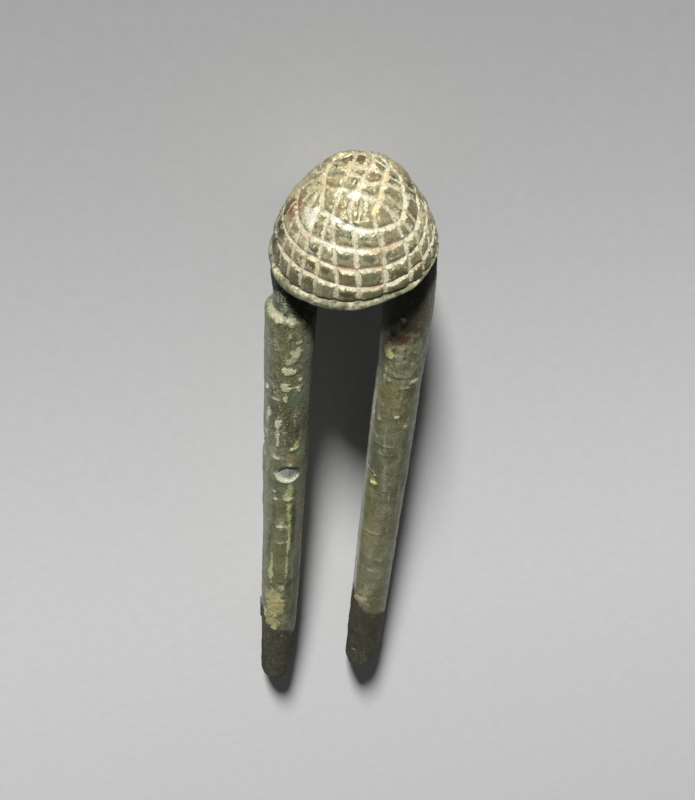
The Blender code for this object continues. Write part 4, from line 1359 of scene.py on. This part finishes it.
# size in mm, detail, where the noise starts and is full, strength, colour
SPECKS = ((0.32, 3.0, 0.60, 0.30, 0.60, "#2c2c1e"), (0.26, 2.0, 0.60, 0.72, 0.70, "#b9b699"),
          (0.17, 2.0, 0.58, 0.70, 0.60, "#a3a488"))
olive, sage = solid("#595b42"), solid("#6b6e55")
base = add_node(tree, "MixRGB", {0: patches(5.0, 0.35, 0.65), 1: olive, 2: sage}).outputs[0]
for size, where, low, high, strength, colour in PATCHES:
    share = patches(size, low, high, strength, where=where)
    base = add_node(tree, "MixRGB", {0: share, 1: base, 2: solid(colour)}).outputs[0]
for size, detail, low, high, strength, colour in SPECKS:
    specks = patches(size, low, high, strength, detail=detail)
    share = add_node(tree, "Math", {0: specks, 1: given["crumbly"]}, operation="MULTIPLY").outputs[0]
    base = add_node(tree, "MixRGB", {0: share, 1: base, 2: solid(colour)}).outputs[0]
print("with the base:", len(tree.nodes))

# %% [markdown]
# ### Paint and crust
#
# The painted colour goes over the base, a little thin in places. The crust breaks up in two ways: on the
# legs it crumbles into separate bits, and on the polished dome it's smeared into the lines with ragged
# edges.

# %% Paint and crust over the base
thin = patches(0.30, 0.30, 0.52, 1.0, 0.62, detail=3.0)
cover = add_node(tree, "Math", {0: given["cover"], 1: thin}, operation="MULTIPLY").outputs[0]
colour = add_node(tree, "MixRGB", {0: cover, 1: base, 2: given["paint"]}).outputs[0]
BREAKS = ((0.18, 0.75, 5.0, -1.45, "MULTIPLY"), (0.34, 0.70, 1.5, -0.75, "ADD"))     # crumbled, smeared
broken = []
for size, rough, by, plus, operation in BREAKS:
    gaps = add_node(tree, "TexNoise", features(size, rough=rough)).outputs[0]
    gaps = add_node(tree, "Math", {0: gaps, 1: by, 2: plus}, operation="MULTIPLY_ADD").outputs[0]
    broken.append(add_node(tree, "Math", {0: given["crusted"], 1: gaps}, operation=operation).outputs[0])
crumbled, smeared = broken
either = add_node(tree, "MixRGB", {0: given["polish"], 1: crumbled, 2: smeared}).outputs[0]
crusted = add_node(tree, "MapRange", {0: either, 1: 0.36, 2: 0.56},
                   interpolation_type="SMOOTHSTEP").outputs[0]
colour = add_node(tree, "MixRGB", {0: crusted, 1: colour, 2: given["crust"]}).outputs[0]
fine = patches(0.17, 0.27, 0.73, 1.34, 0.66, detail=5.0, rough=0.7)
grey = add_node(tree, "CombineColor", {0: fine, 1: fine, 2: fine}).outputs[0]
colour = add_node(tree, "MixRGB", {0: 1.0, 1: colour, 2: grey}, blend_type="MULTIPLY").outputs[0]
print("with paint and crust:", len(tree.nodes))

# %% [markdown]
# ### Sheen and relief
#
# Patina shines a little like wax, crust and the dulled places don't, and only the polished dome looks partly
# like metal. A fine bump, stronger where the skin is crumbly, catches the light between the mesh's points.

# %% Sheen and relief
rough = patches(0.6, 0.3, 0.7, 0.47, 0.30)
for share, by in ((crusted, 0.22), (given["dulled"], 0.5)):
    rough = add_node(tree, "Math", {0: share, 1: by, 2: rough}, operation="MULTIPLY_ADD").outputs[0]
bare = add_node(tree, "Math", {0: crusted, 1: -0.3, 2: 0.3}, operation="MULTIPLY_ADD").outputs[0]
bare = add_node(tree, "Math", {0: given["polish"], 1: bare}, operation="MULTIPLY").outputs[0]
relief = add_node(tree, "TexNoise", features(0.5, detail=5.0, rough=0.65)).outputs[0]
streaks = add_node(tree, "TexNoise", features(0.9, streaky)).outputs[0]
relief = add_node(tree, "Math", {0: streaks, 1: 0.6, 2: relief}, operation="MULTIPLY_ADD").outputs[0]
height = add_node(tree, "Math", {0: given["crumbly"], 1: 0.8, 2: 0.2}, operation="MULTIPLY_ADD").outputs[0]
relief = add_node(tree, "Math", {0: relief, 1: height}, operation="MULTIPLY").outputs[0]
bump = add_node(tree, "Bump", {"Strength": 0.5, "Distance": 0.1 * MM, "Height": relief}).outputs[0]
shader = tree.nodes["Principled BSDF"]
for value, socket in ((colour, "Base Color"), (rough, "Roughness"), (bare, "Metallic"), (bump, "Normal")):
    tree.links.new(value, shader.inputs[socket])
pin.data.materials.clear()
pin.data.materials.append(metal)
print("material:", metal.name, "with", len(tree.nodes), "nodes")

# %% [markdown]
# ## Laying it down
#
# The finished skin is turned into the frame with the same matrix as everything else, and the spots it rests
# on are kept from dipping into the floor.

# %% Into the frame
pin.data.transform(to_row)
points = read_rows(pin.data.vertices, "co")
print("lowest point under the floor, mm:", round(float(points[:, 2].min() - box_low.z) / MM, 3))
points[:, 2] = np.maximum(points[:, 2], box_low.z)
write_points(pin, points)
start_fresh()
pin.select_set(True)
bpy.context.view_layer.objects.active = pin
bpy.ops.object.shade_smooth()
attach(pin, "root")
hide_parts("topknot_pin")
lamp.light_linking.receiver_collection.objects.link(pin)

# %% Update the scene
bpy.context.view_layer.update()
